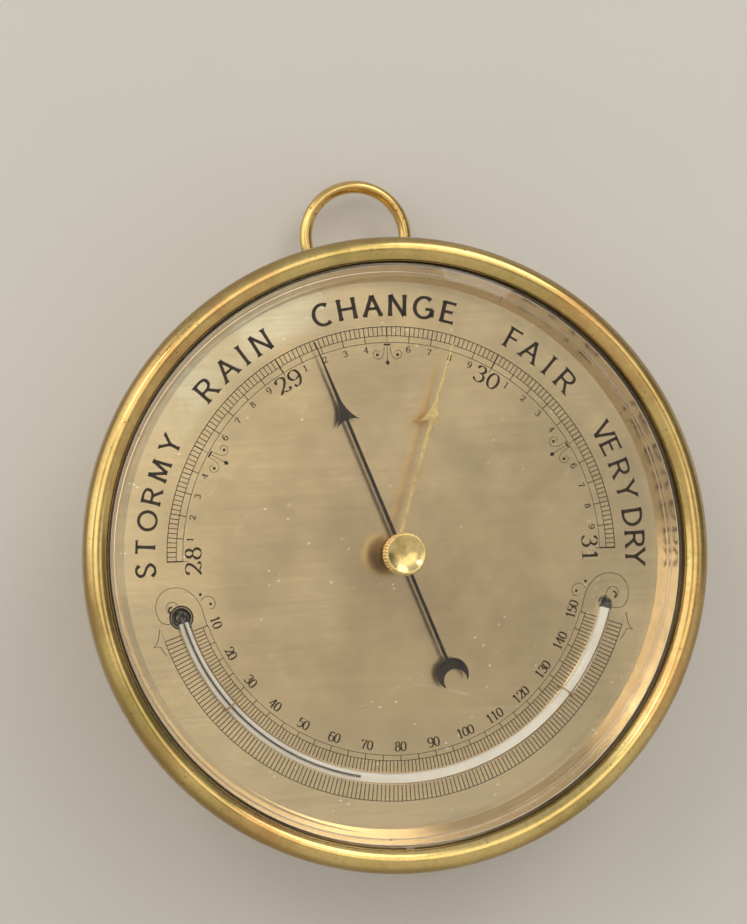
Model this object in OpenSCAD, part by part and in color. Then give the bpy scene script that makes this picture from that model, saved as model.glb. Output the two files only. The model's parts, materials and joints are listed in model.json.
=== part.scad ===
// Marine aneroid barometer: a round brass case hung by a ring, with a silvered dial,
// a pressure hand, a set hand turned by a knob through the glass, and a curved thermometer.
// Every piece is drawn as seen from the front, with z as its height above the wall,
// and front() then stands it upright, so that the back lies on the plane y = 0.

/* [Case] */
// Outer radius of the drum behind the bezel
drum_r = 62.5; // [61.5:0.25:63.5]
// Wall of the drum
drum_wall = 1.6; // [1.2:0.1:2]
// Thickness of the drum's back plate
back_t = 2.2; // [2:0.1:3]
// Distance from the drum's side to the rim of the flange that the bezel pushes over
flange_over = 8.9; // [8:0.1:10]
// Height of the flange's rim, from its collar to the dial's front
flange_h = 9; // [8:0.5:12]
// Width of the flange's rim round the dial plate
rim_w = 4.8; // [4:0.1:5.4]
// Thickness of the dial plate
dial_t = 1.2; // [1:0.1:1.6]

/* [Bezel and glass] */
// Radius of the bezel's rounded bead in section
bead_r = 3.1; // [2.8:0.1:3.4]
// Straight length of the bead between its front and back rounds
bead_straight = 2.4; // [1.6:0.1:3]
// Thickness of the bezel's push-on skirt
skirt_t = 1.6; // [1.2:0.1:2]
// Length of skirt that grips the flange
skirt_grip = 3.8; // [3:0.2:5]
// Height of the glass above the dial
glass_gap = 7.9; // [7.4:0.1:9]
// Thickness of the glass in the middle
glass_t = 2.5; // [2.2:0.1:3]
// Thickness of the glass at its edge
glass_edge_t = 1.5; // [1.2:0.1:1.8]
// Width of the bevel that is ground round the glass
bevel_w = 4.3; // [3:0.1:5]
// Distance from the dial plate's edge to the foot of the silvered surround
surround_in = 2.4; // [1.6:0.1:3]
// Wall of the silvered surround
surround_t = 0.9; // [0.6:0.1:1.2]

/* [Hanging ring] */
// Radius of the ring, to the middle of its wire
ring_r = 12.8; // [11:0.2:14]
// Radius of the ring's wire
ring_wire_r = 1.6; // [1.3:0.1:1.8]
// Height of the ring's plane above the wall
ring_z = 7; // [6.6:0.1:8]
// Outer radius of the pendant's eye
eye_r = 4.4; // [4.1:0.1:4.8]
// Thickness of the pendant's eye
eye_t = 5; // [4:0.2:6]
// Height of the eye's bore above the drum
eye_rise = 5.5; // [5.2:0.1:7]
// Radius of the pendant's shank
shank_r = 2.5; // [2:0.1:3]

/* [Hands] */
// Thickness of both hands
hand_t = 0.4; // [0.3:0.05:0.6]
// Height of the pressure hand above the dial
pressure_lift = 3.1; // [2.8:0.1:3.4]
// Distance from the dial plate's edge to the pressure hand's point
pressure_in = 12; // [11.6:0.2:16]
// Reach of the pressure hand's barbs
pressure_barb = 33.2; // [30:0.2:36]
// Direction of the pressure hand, clockwise from the top
pressure_at = -21.1; // [-80:0.1:80]
// Sideways set of the pressure hand's blade from the middle
pressure_offset = 1.4; // [0:0.1:1.5]
// Distance from the middle to the moon on the pressure hand's tail
moon_at = 31.8; // [28:0.2:34]
// Outer radius of the moon
moon_r = 3.9; // [3.2:0.1:4.4]
// Distance from the dial plate's edge to the set hand's point
set_in = 14.2; // [12:0.2:18]
// Reach of the set hand's barbs
set_barb = 31.6; // [28:0.2:34]
// Direction of the set hand, clockwise from the top
set_at = 17.8; // [-80:0.1:80]
// Sideways set of the set hand's blade from the middle
set_offset = -1.2; // [-1.4:0.1:0]
// Radius of the set knob
knob_r = 5.1; // [4.6:0.1:5.8]
// Height of the set knob
knob_h = 4.2; // [3.6:0.1:5]
// Depth of the dish in the set knob's face
knob_dish = 1.1; // [0.6:0.1:1.6]
// Radius of the stem that joins the set knob to its hand
stem_r = 1.1; // [0.9:0.05:1.3]

/* [Thermometer] */
// Distance from the dial plate's edge to the middle of the thermometer tube
tube_in = 12.8; // [12.4:0.1:13.2]
// Radius of the glass tube
tube_r = 1.55; // [1.3:0.05:1.7]
// Radius of the tube's bore
tube_bore_r = 0.42; // [0.35:0.01:0.5]
// Angle of each end of the tube, from the bottom of the dial
tube_end = 75.6; // [70:0.2:78]
// Angle from the bottom of the dial to the end of the mercury
mercury_end = 11.2; // [5:0.2:40]
// Radius of the bulb behind the dial
bulb_r = 3; // [2.6:0.1:3.4]
// Angle of each wire tie, from the bottom of the dial
tie_at = 50; // [40:1:60]
// Radius of the tie wire
tie_wire_r = 0.2; // [0.15:0.01:0.25]

/* [Movement] */
// Gap between the movement's base plate and the inside of the drum
plate_gap = 8.9; // [7:0.1:10]
// Thickness of the movement's base plate
plate_t = 3; // [2.5:0.1:3.5]
// Height of the spacers under the base plate
spacer_h = 2.6; // [2.4:0.1:3.2]
// Radius of the vacuum capsule
capsule_r = 24; // [22:0.5:25]
// Height of the vacuum capsule at its rim
capsule_h = 5.6; // [4.6:0.2:6.6]
// Thickness of the capsule's diaphragms
diaphragm_t = 0.4; // [0.3:0.05:0.5]
// Height of the mainspring above the capsule
pillar_reach = 11.2; // [10.6:0.2:13]
// Thickness of the mainspring
spring_t = 1.4; // [1.2:0.1:1.6]
// Width of the mainspring
spring_w = 36; // [32:1:40]
// Inner radius of the mainspring's bend
spring_bend_r = 3; // [2.6:0.1:3.2]
// Thickness of the main lever
lever_t = 1.2; // [1:0.1:1.4]
// Distance from the base plate's edge to the rocking shaft
rocker_in = 8; // [7:0.2:9]
// Length of the rocking shaft's crank
crank_len = 3.5; // [3.2:0.1:4]
// Length of the chain arm
chain_arm_len = 12; // [11:0.1:12.4]
// Radius of the drum that the chain winds on
spool_r = 1.5; // [1.3:0.05:1.7]
// Radius of the hand arbor
arbor_r = 0.9; // [0.8:0.05:1]
// Distance from the base plate's edge to the adjusting screw
adjust_in = 7; // [6:0.2:8]
// Radius of the adjusting screw's shank
adjust_r = 1.5; // [1.3:0.1:1.8]
// Running clearance of every moving pin in its hole
run_clear = 0.05; // [0.03:0.01:0.08]

/* [Hidden] */
$fn = 64;

// Gap that keeps still pieces apart where they don't bear on each other
play = 0.1;
// Clearance of a fixed piece in its hole
snug = 0.02;
// Amount by which a cutting shape passes the face that it cuts
past = 1;

// Heights above the wall, from the back plate up to the dial
plate_z = back_t + spacer_h;
plate_top = plate_z + plate_t;
capsule_foot_h = 0.8;
capsule_top = plate_top + capsule_foot_h + capsule_h;
capsule_mid = capsule_top - capsule_h / 2;
leaf_z = capsule_top + pillar_reach;
leaf_top = leaf_z + spring_t;
bend_z = leaf_z - spring_bend_r;
seat_z = bend_z - spring_bend_r - spring_t;
lever_top = leaf_top + lever_t;
bar_t = 1.4;
bar_gap = 2.6;
bar_z = lever_top + bar_gap;
bar_top = bar_z + bar_t;
spool_z = bar_top + 0.8;
spool_flange_t = 0.4;
spool_h = 1.6;
spool_flange_r = spool_r + 0.8;
chain_z = spool_z + spool_flange_t + spool_h / 2;
hairspring_z = chain_z + spool_h / 2 + spool_flange_t + 0.6;
hairspring_h = 0.5;
cock_z = hairspring_z + hairspring_h + 1.3;
cock_top = cock_z + bar_t;
dial_back = cock_top + 1.8;
dial_z = dial_back + dial_t;

// Case
drum_inner = drum_r - drum_wall;
flange_r = drum_r + flange_over;
dial_r = flange_r - rim_w;
plate_r = drum_inner - plate_gap;
adjust_x = plate_r - adjust_in;
rocker_x = plate_r - rocker_in;
flange_lip = 2.4;
collar_w = 2.6;
collar_z = dial_z - flange_h;
drum_h = dial_back - flange_lip;
back_round = 1.4;
movement_in = 6;
movement_circle = plate_r - movement_in;
movement_screw_r = 1.5;
countersink_r = 2.8;
countersink_h = 1.2;
spacer_r = movement_screw_r + 2.5;
access_r = adjust_r + 1.9;
adjust_head_r = adjust_r + 1.2;
adjust_foot = back_t + 0.3;

// Bezel and glass
bezel_bore = flange_r - 0.5;
bead_at = bezel_bore + bead_r - 1.1;
glass_back = dial_z + glass_gap;
glass_front = glass_back + glass_t;
lip_z = glass_back + glass_edge_t;
bead_z = lip_z - 0.4;
glass_r = bezel_bore - 2 * play;
retainer_h = 1;
retainer_w = 1.2;
retainer_cut = 1;
surround_top = glass_back - retainer_h + 0.3;
surround_lean = 0.65;
surround_r = dial_r - surround_in;
surround_lip = surround_r + surround_lean * (surround_top - dial_z);

// Hanging ring, with the eye's bore as its hinge
eye_y = drum_r + eye_rise;
eye_bore_r = ring_wire_r + eye_t * eye_t / 8 / ring_r + 0.2;
collar_r = 4.5;
collar_h = 1.5;
nut_h = 2.6;
nut_r = shank_r + 1.7;

// Set knob and its bush, in a hole through the glass
bush_r = stem_r + 0.9;
bush_flange_r = bush_r + 1;
bush_back_t = 0.4;
bush_front_t = 0.5;
bush_rim_r = bush_flange_r + 0.3;
washer_r = bush_r + 0.7;
washer_h = 0.4;
set_z = glass_back - bush_back_t - washer_h - 2 * play - hand_t + play;
knob_z = glass_front + bush_front_t + 0.3;
knurls = 38;
knurl_depth = 0.28;
knob_rim = 0.45;
knob_chamfer = 0.45;
knob_foot_r = stem_r + 1.2;
stem_under = 0.3;
washer_t = 0.2;
dish_half = knob_r - knurl_depth - knob_rim;
dish_sphere = (dish_half * dish_half + knob_dish * knob_dish) / 2 / knob_dish;

// Hands: half widths of the blade at its point, its neck, its barbs and the notch behind them
point_half = 0.12;
neck_half = 0.42;
barb_half = 3.25;
flare_len = 7.4;
flare_bend = 2.2;
notch = [[2.3, 0.75], [1.2, 1.15]];
notch_deep = 1.3;
shaft_half = 0.4;
swell = 1.15;
pressure_reach = dial_r - pressure_in;
set_reach = dial_r - set_in;
pressure_z = dial_z + pressure_lift;
collet_r = arbor_r + 0.6;
collet_foot_r = collet_r + 0.7;
collet_foot_h = 0.9;
collet_over = 0.5;
hub_r = collet_r + 1;
arbor_tip = pressure_z + hand_t + 1.2;
arbor_neck_z = bar_top + 0.3;
arbor_foot_z = bar_z + 0.2;
moon_cut_r = 0.74 * moon_r;
moon_cut_at = 0.46 * moon_r;
set_hub_r = stem_r + 1.6;
dial_hole_r = collet_r + 0.5;

// Thermometer
tube_arc_r = dial_r - tube_in;
tube_z = dial_z + tube_r + play;
bulb_h = 9;
bulb_drop = 3;
bulb_z = dial_back - bulb_drop - bulb_h;
bulb_wall = 0.5;
elbow = 1.04;
mercury_slack = 0.06;
bulb_hole_r = 2.4;
tip_hole_r = tube_r + 0.15;
tip_foot = dial_z - 0.6;
tie_r = tube_r + tie_wire_r + 0.03;
tie_hole_r = tie_wire_r + play;
tie_foot = dial_back - 0.8;

// Movement
capsule_foot_r = 4;
ripple_in = 6;
ripple_out = capsule_r - 2;
ripple_h = 0.5;
ripples = 4;
ripple_steps = 40;
seam_in = 0.8;
beam_w = 8;
beam_gap = 2;
beam_x = capsule_r + beam_gap + beam_w / 2;
beam_over = 8;
beam_l = spring_w + 2 * beam_over;
bridge_z = plate_top + 0.4;
tail_t = 3;
tail_w = 10;
tail_z = plate_top + 1.3;
tail_over = 4;
tail_end = adjust_x + tail_over;
lug_t = 3.4;
lug_y = beam_l / 2 + 0.6;
pivot_r = 1.1;
pivot_deep = 2.4;
pivot_head_r = 2;
lug_w = 6;
lug_over = 3;
pivot_rise = 4;
pivot_z = bridge_z + pivot_rise;
bend_over = 8;
bend_x = beam_x + bend_over;
leaf_end = 9;
leaf_tip_w = 11;
leaf_wide = beam_x - 2;
leaf_narrow = 4;
pillar_r = 1.6;
pillar_foot_h = 1.2;
pillar_over = 1;
leaf_hole_r = pillar_r + 0.5;
knife_w = 1.5;
knife_l = 7;
spring_screw_y = 9;
lever_start = 3.6;
link_x = rocker_x - crank_len;
link_y = 6;
link_r = 0.7;
lever_end = link_x + 1.6;
lever_tip_w = 4;
lever_screw_x = (lever_start + leaf_end) / 2;
lever_screw_y = 3;
comp_in = 3;
rivet_over = 0.7;
comp_start = leaf_end + comp_in;
comp_end = link_x - 2 * comp_in - rivet_over;
comp_t = 0.8;
comp_half = 1.4;
rivet_h = 0.8;
link_neck = 1.2;
eye_slack = 0.3;
rocker_z = chain_z - chain_arm_len;
rocker_r = 1.4;
rocker_y0 = -10;
rocker_y1 = 14;
crank_t = 1.2;
crank_half = 0.9;
crank_pin_r = 0.6;
link_eye_r = 1.5;
link_eye_t = 1.6;
crank_y = link_y + link_eye_t / 2 + 0.3;
post_t = 3;
post_w = 6;
fine_r = 0.5;
fine_deep = 2;
end_play = 0.2;
arm_half = 1;
arm_t = 1.2;
rocker_head_r = 1.5;
post_over = 3;
chain_t = 0.5;
chain_w = 1;
chain_pitch = 1.6;
chain_waist = 0.6;
chain_start = rocker_x - arm_half - play;
chain_links = floor((chain_start - 1.2) / chain_pitch);
chain_y = -(spool_r + play + chain_t / 2);
pillar_gap = 6;
bar_pillar_r = 3;
pillar_y = capsule_r + pillar_gap + bar_pillar_r;
bar_w = 9;
bar_l = 2 * (pillar_y + bar_w / 2);
post_y = 14;
post_r = 2.4;
post_bore = 3;
cock_head_h = 0.9;
cock_w = 8;
cock_l = 2 * post_y + cock_w;
screw_r = 1.2;
head_r = 2.2;
lever_head_r = head_r - 0.3;
head_h = 1.2;
slot_w = 0.6;
slot_deep = 0.5;
screw_deep = 5;
screw_grip = 4;
stud_y = 9;
stud_r = 0.8;
hairspring_t = 0.25;
hairspring_turns = 5;
hairspring_r0 = arbor_r + 0.7;
hairspring_r1 = stud_y - stud_r - 0.2;
stud_over = 0.3;

// Stands a piece, drawn as seen from the front, on the wall plane
module front() rotate([90, 0, 0]) children();

// Moves a piece to a clockwise angle from the top, at a radius and a height
module clock(angle, r, z) rotate([0, 0, -angle]) translate([0, r, z]) children();

// A disc or a tube that stands at a height
module disc(r, z, h) translate([0, 0, z]) cylinder(r = r, h = h);
module tube(r, bore, z, h) difference() {
    disc(r, z, h);
    disc(bore, z - past, h + 2 * past);
}

// A cylinder that lies along y, between two places
module rod_y(r, x, z, y0, y1) translate([x, y0, z]) rotate([-90, 0, 0]) cylinder(r = r, h = y1 - y0);

// A block between two corners
module block(x0, x1, y0, y1, z0, z1) translate([x0, y0, z0]) cube([x1 - x0, y1 - y0, z1 - z0]);

// A slotted cheese-head screw whose head stands on height z, with its shank below
module screw(r, shank, z, head, height) difference() {
    union() {
        disc(head, z, height);
        disc(r, z - shank, shank + height / 2);
    }
    block(-head - past, head + past, -slot_w / 2, slot_w / 2, z + height - slot_deep, z + height + past);
}

module movement_places() for (a = [0, 120, 240]) clock(a, movement_circle, 0) children();
module both_sides(y) for (s = [-1, 1]) translate([0, s * y, 0]) children();

module case_drum() color("darkgoldenrod") front() difference() {
    rotate_extrude() difference() {
        union() {
            translate([0, back_round]) square([drum_r, drum_h - back_round]);
            square([drum_r - back_round, back_round + past]);
            translate([drum_r - back_round, back_round]) circle(back_round);
        }
        translate([-past, back_t]) square([drum_inner + past, drum_h]);
        translate([-2 * past, -past]) square([2 * past, drum_h + 2 * past]);
    }
    translate([-adjust_x, 0, -past]) cylinder(r = access_r, h = back_t + 2 * past);
    movement_places() {
        translate([0, 0, -past]) cylinder(r = movement_screw_r + play, h = back_t + 2 * past);
        translate([0, 0, -past]) cylinder(r = countersink_r + play, h = countersink_h + past);
    }
    translate([0, drum_inner - past, ring_z]) rotate([-90, 0, 0])
        cylinder(r = shank_r + play / 2, h = drum_wall + 3 * past);
}

module case_flange() color("goldenrod") front() rotate_extrude() polygon([
    [drum_r, collar_z], [drum_r + collar_w, collar_z], [flange_r, dial_z - skirt_grip - play],
    [flange_r, dial_z], [dial_r + play, dial_z], [dial_r + play, dial_back],
    [drum_inner, dial_back], [drum_inner, drum_h], [drum_r, drum_h]]);

module bezel() color("gold") front() rotate_extrude() difference() {
    union() {
        translate([bead_at, bead_z]) circle(bead_r);
        translate([bead_at, bead_z - bead_straight]) circle(bead_r);
        translate([bead_at - bead_r, bead_z - bead_straight]) square([2 * bead_r, bead_straight]);
        translate([bezel_bore, dial_z - skirt_grip])
            square([flange_r + play + skirt_t - bezel_bore, bead_z - dial_z + skirt_grip]);
    }
    polygon([[0, 0], [bezel_bore, 0], [bezel_bore, lip_z], [glass_r - bevel_w, glass_front + play / 2],
        [0, glass_front + play / 2]]);
    square([flange_r + play, dial_z + play]);
}

module glass() color("azure", 0.35) front() difference() {
    rotate_extrude() polygon([
        [0, glass_back], [glass_r, glass_back], [glass_r, lip_z - play / 2],
        [glass_r - bevel_w, glass_front], [0, glass_front]]);
    disc(bush_r + play / 2, glass_back - past, glass_t + 2 * past);
}

module glass_retainer() color("goldenrod") front() difference() {
    tube(bezel_bore - play / 2, bezel_bore - retainer_w, glass_back - retainer_h, retainer_h);
    block(-retainer_cut, retainer_cut, -flange_r, 0, glass_back - retainer_h - past, glass_back + past);
}

module dial_surround() color("silver") front() rotate_extrude() polygon([
    [surround_r, dial_z], [bezel_bore - play, dial_z], [bezel_bore - play, dial_z + surround_t],
    [surround_r + 2 * surround_t, dial_z + surround_t],
    [surround_lip + 0.4 * surround_t, surround_top], [surround_lip, surround_top]]);

module dial() color("burlywood") front() difference() {
    disc(dial_r, dial_back, dial_t);
    disc(dial_hole_r, dial_back - past, dial_t + 2 * past);
    clock(180 + tube_end, tube_arc_r, dial_back - past) cylinder(r = bulb_hole_r, h = dial_t + 2 * past);
    clock(180 - tube_end, tube_arc_r, dial_back - past) cylinder(r = tip_hole_r, h = dial_t + 2 * past);
    for (s = [-1, 1], d = [-tie_r, tie_r])
        clock(180 + s * tie_at, tube_arc_r + d, dial_back - past)
            cylinder(r = tie_hole_r, h = dial_t + 2 * past);
}

module pendant_stud() color("goldenrod") front() translate([0, 0, ring_z]) difference() {
    union() {
        translate([0, drum_inner - nut_h - past, 0]) rotate([-90, 0, 0])
            cylinder(r = shank_r, h = eye_y - drum_inner + nut_h + past);
        translate([0, drum_r, 0]) rotate([-90, 0, 0]) cylinder(r = collar_r, h = collar_h);
        translate([-eye_t / 2, eye_y, 0]) rotate([0, 90, 0]) cylinder(r = eye_r, h = eye_t);
    }
    translate([-eye_t, eye_y, 0]) rotate([0, 90, 0]) cylinder(r = eye_bore_r, h = 2 * eye_t);
}

module pendant_nut() color("goldenrod") front() translate([0, drum_inner - 2 * play - nut_h, ring_z])
    rotate([-90, 0, 0]) difference() {
        cylinder(r = nut_r, h = nut_h, $fn = 6);
        translate([0, 0, -past]) cylinder(r = shank_r + play / 4, h = nut_h + 2 * past);
    }

module hanging_ring() color("gold") front() translate([0, eye_y + ring_r, ring_z])
    rotate_extrude() translate([ring_r, 0]) circle(ring_wire_r);

// The knurled rim is a toothed outline, and the dish is the cap of a large sphere
module set_knob() color("gold") front() difference() {
    union() {
        translate([0, 0, knob_z + knob_chamfer]) linear_extrude(knob_h - 2 * knob_chamfer) polygon([
            for (i = [0:2 * knurls - 1]) let (a = i * 180 / knurls, r = knob_r - knurl_depth * (i % 2))
                [r * cos(a), r * sin(a)]]);
        disc(knob_r - knurl_depth, knob_z, knob_h);
        disc(knob_foot_r, glass_front + bush_front_t + play, knob_z - glass_front - bush_front_t);
    }
    translate([0, 0, knob_z + knob_h - knob_dish + dish_sphere]) sphere(dish_sphere, $fn = 128);
    disc(stem_r + snug, glass_front, knob_z + knob_h / 2 - glass_front);
}

module set_stem() color("goldenrod") front()
    disc(stem_r, set_z - stem_under, knob_z + knob_h / 2 - play - set_z + stem_under);

module glass_bush() color("goldenrod") front() difference() {
    union() {
        disc(bush_r, glass_back, glass_t);
        disc(bush_flange_r, glass_back - bush_back_t, bush_back_t);
        disc(bush_rim_r, glass_front, bush_front_t);
    }
    disc(stem_r + run_clear, glass_back - past, glass_t + 2 * past);
}

module spring_washer() color("darkgray") front() rotate_extrude() polygon([
    [stem_r + play / 2, set_z + hand_t], [bush_r, set_z + hand_t],
    [washer_r, set_z + hand_t + washer_h - washer_t], [washer_r, set_z + hand_t + washer_h],
    [bush_r, set_z + hand_t + washer_t], [stem_r + play / 2, set_z + hand_t + washer_t]]);

// One side of a swept arrowhead: a point, a long taper, then a curve that flares out to the barb
function flare(barb, side) = [for (i = [0:8]) let (t = i / 8)
    [side * (neck_half + (barb_half - neck_half) * pow(t, flare_bend)), barb + flare_len * (1 - t)]];
function half_hand(reach, barb, side) = concat([[side * point_half, reach]], flare(barb, side),
    [for (step = notch) [side * step[0], barb + step[1]]], [[side * shaft_half, barb + notch_deep]]);
function flip(points) = [for (i = [len(points) - 1:-1:0]) points[i]];

module blade(reach, barb, tail) polygon(concat(
    half_hand(reach, barb, 1), [[shaft_half * swell, 0], [shaft_half, -tail]],
    [[-shaft_half, -tail], [-shaft_half * swell, 0]], flip(half_hand(reach, barb, -1))));

module pressure_hand() color("#2b2420") front() rotate([0, 0, -pressure_at])
    translate([0, 0, pressure_z]) difference() {
        union() {
            translate([pressure_offset, 0, 0]) linear_extrude(hand_t)
                blade(pressure_reach, pressure_barb, moon_at - moon_r + hand_t);
            disc(hub_r, 0, hand_t);
            translate([pressure_offset, -moon_at, 0]) difference() {
                disc(moon_r, 0, hand_t);
                translate([0, -moon_cut_at, 0]) disc(moon_cut_r, -past, hand_t + 2 * past);
            }
        }
        disc(collet_r + snug, -past, hand_t + 2 * past);
    }

module set_hand() color("gold") front() rotate([0, 0, -set_at]) translate([0, 0, set_z]) difference() {
    union() {
        translate([set_offset, 0, 0]) linear_extrude(hand_t) blade(set_reach, set_barb, 0);
        disc(set_hub_r, 0, hand_t);
    }
    disc(stem_r + snug, -past, hand_t + 2 * past);
}

module hand_collet() color("goldenrod") front() difference() {
    union() {
        disc(collet_r, pressure_z - play, play + hand_t + collet_over);
        disc(collet_foot_r, pressure_z - collet_foot_h, collet_foot_h);
    }
    disc(arbor_r + snug, pressure_z - 2 * past, hand_t + 4 * past);
}

module hand_arbor() color("slategray") front() union() {
    disc(fine_r, arbor_foot_z, spool_z - arbor_foot_z);
    disc(arbor_r, arbor_neck_z, arbor_tip - arbor_neck_z);
    disc(spool_r, spool_z, spool_h + 2 * spool_flange_t);
    disc(spool_flange_r, spool_z, spool_flange_t);
    disc(spool_flange_r, spool_z + spool_flange_t + spool_h, spool_flange_t);
}

// A flat spiral from its collet on the arbor out to its stud
function spiral_at(t) = [
    hairspring_r0 + (hairspring_r1 - hairspring_r0) * t, 90 - 360 * hairspring_turns * (1 - t)];
function spiral_side(shift) = [for (i = [0:20 * hairspring_turns])
    let (p = spiral_at(i / 20 / hairspring_turns)) [(p[0] + shift) * cos(p[1]), (p[0] + shift) * sin(p[1])]];

module hairspring() color("slateblue") front() union() {
    translate([0, 0, hairspring_z]) linear_extrude(hairspring_h)
        polygon(concat(spiral_side(0), flip(spiral_side(-hairspring_t))));
    tube(hairspring_r0 + play, arbor_r + run_clear, hairspring_z, hairspring_h);
}

module hairspring_stud() color("goldenrod") front()
    translate([0, stud_y, 0]) disc(stud_r, bar_top, hairspring_z + hairspring_h + stud_over - bar_top);

// The glass bends back through the dial at both ends, and swells to a bulb behind it at the left
module thermometer_glass(r, bulb, grow) {
    translate([0, 0, tube_z]) rotate_extrude(angle = 2 * tube_end, start = 270 - tube_end)
        translate([tube_arc_r, 0]) circle(r);
    for (s = [-1, 1]) clock(180 + s * tube_end, tube_arc_r, tube_z) sphere(elbow * r);
    clock(180 - tube_end, tube_arc_r, tip_foot) cylinder(r = r, h = tube_z - tip_foot);
    clock(180 + tube_end, tube_arc_r, bulb_z + grow) cylinder(r = r, h = tube_z - bulb_z - grow);
    clock(180 + tube_end, tube_arc_r, bulb_z + grow) cylinder(r = bulb, h = bulb_h - 2 * grow);
}

// The bulb is open at its foot, where it is filled and sealed
module thermometer_tube() color("ivory") front() difference() {
    thermometer_glass(tube_r, bulb_r, 0);
    mercury_space(tube_bore_r, bulb_wall);
    clock(180 + tube_end, tube_arc_r, bulb_z - past) cylinder(r = tube_bore_r, h = bulb_wall + 2 * past);
}

module mercury_space(r, grow) {
    translate([0, 0, tube_z]) rotate_extrude(angle = tube_end - mercury_end, start = 270 - tube_end)
        translate([tube_arc_r, 0]) circle(r);
    clock(180 + tube_end, tube_arc_r, tube_z) sphere(elbow * r);
    clock(180 + tube_end, tube_arc_r, bulb_z + bulb_h / 2)
        cylinder(r = r, h = tube_z - bulb_z - bulb_h / 2);
    clock(180 + tube_end, tube_arc_r, bulb_z + grow) cylinder(r = bulb_r - grow, h = bulb_h - 2 * grow);
}

module mercury_thread() color("dimgray") front()
    mercury_space(tube_bore_r - mercury_slack, bulb_wall + mercury_slack);

module tube_ties() color("dimgray") front()
    for (s = [-1, 1]) clock(180 + s * tie_at, tube_arc_r, tube_z) rotate([90, 0, 90]) union() {
        rotate_extrude(angle = 180) translate([tie_r, 0]) circle(tie_wire_r);
        for (d = [-tie_r, tie_r]) translate([d, 0, 0]) rotate([90, 0, 0])
            cylinder(r = tie_wire_r, h = tube_z - tie_foot);
    }

module movement_plate() color("goldenrod") front() difference() {
    disc(plate_r, plate_z, plate_t);
    movement_places() disc(movement_screw_r + snug, plate_z - past, plate_t + 2 * past);
    translate([-adjust_x, 0, 0]) disc(adjust_r + run_clear, plate_z - past, plate_t + 2 * past);
}

module plate_spacers() color("darkgoldenrod") front()
    movement_places() tube(spacer_r, movement_screw_r + play, back_t, spacer_h);

module movement_screws() color("slategray") front() movement_places() difference() {
    union() {
        disc(countersink_r, play, countersink_h - play);
        disc(movement_screw_r, countersink_h - play, plate_top - countersink_h + play);
    }
    block(-countersink_r, countersink_r, -slot_w / 2, slot_w / 2, -past, play + slot_deep);
}

// A corrugated diaphragm: its height follows a sine of the radius, from a flat middle out to its seam
function ripple_at(i) = let (t = i / ripple_steps)
    [ripple_in + (ripple_out - ripple_in) * t, ripple_h * sin(360 * ripples * t)];
module diaphragm(rim, level, t) polygon(concat(
    [[0, level]], [for (i = [0:ripple_steps]) ripple_at(i) + [0, level]],
    [[capsule_r - seam_in, rim], [capsule_r, rim], [capsule_r, rim + t], [capsule_r - seam_in - t, rim + t]],
    [for (i = [ripple_steps:-1:0]) ripple_at(i) + [0, level + t]], [[0, level + t]]));

module capsule_base() color("silver") front() union() {
    rotate_extrude() diaphragm(capsule_mid - diaphragm_t, plate_top + capsule_foot_h, diaphragm_t);
    disc(capsule_foot_r, plate_top, capsule_foot_h);
}
module capsule_lid() color("silver") front() rotate_extrude() translate([0, 2 * capsule_mid])
    mirror([0, 1]) diaphragm(capsule_mid - diaphragm_t, plate_top + capsule_foot_h, diaphragm_t);

module capsule_pillar() color("goldenrod") front() difference() {
    union() {
        disc(capsule_foot_r, capsule_top, pillar_foot_h);
        disc(pillar_r, capsule_top, leaf_top + knife_w + pillar_over - capsule_top);
    }
    block(-knife_w / 2 - play / 4, knife_w / 2 + play / 4, -pillar_r - past, pillar_r + past,
        leaf_top, leaf_top + knife_w + play / 4);
}

module knife_edge() color("slategray") front() translate([0, knife_l / 2, leaf_top]) rotate([90, 0, 0])
    linear_extrude(knife_l) polygon([[0, 0], [knife_w / 2, knife_w / 2], [knife_w / 2, knife_w],
        [-knife_w / 2, knife_w], [-knife_w / 2, knife_w / 2]]);

module spring_bridge() color("dimgray") front() difference() {
    union() {
        block(-beam_x - beam_w / 2, -beam_x + beam_w / 2, -beam_l / 2, beam_l / 2, bridge_z, seat_z);
        block(-tail_end, -beam_x, -tail_w / 2, tail_w / 2, tail_z, tail_z + tail_t);
    }
    for (s = [-1, 1]) translate([-beam_x, s * beam_l / 2, pivot_z]) rotate([90, 0, 0])
        cylinder(r = pivot_r + run_clear, h = 2 * pivot_deep + play, center = true);
    both_sides(spring_screw_y) translate([-beam_x, 0, 0])
        disc(screw_r + snug, seat_z - screw_deep, screw_deep + past);
}

module bridge_lugs() color("goldenrod") front() for (s = [-1, 1]) difference() {
    block(-beam_x - lug_w / 2, -beam_x + lug_w / 2, s > 0 ? lug_y : -lug_y - lug_t,
        s > 0 ? lug_y + lug_t : -lug_y, plate_top, pivot_z + lug_over);
    rod_y(pivot_r + snug, -beam_x, pivot_z, -lug_y - lug_t - past, lug_y + lug_t + past);
}

module bridge_pivots() color("slategray") front() for (s = [-1, 1]) {
    rod_y(pivot_r, -beam_x, pivot_z, s > 0 ? beam_l / 2 - pivot_deep + play : -lug_y - lug_t - play,
        s > 0 ? lug_y + lug_t + play : -beam_l / 2 + pivot_deep - play);
    rod_y(pivot_head_r, -beam_x, pivot_z, s > 0 ? lug_y + lug_t : -lug_y - lug_t - head_h,
        s > 0 ? lug_y + lug_t + head_h : -lug_y - lug_t);
}

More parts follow.
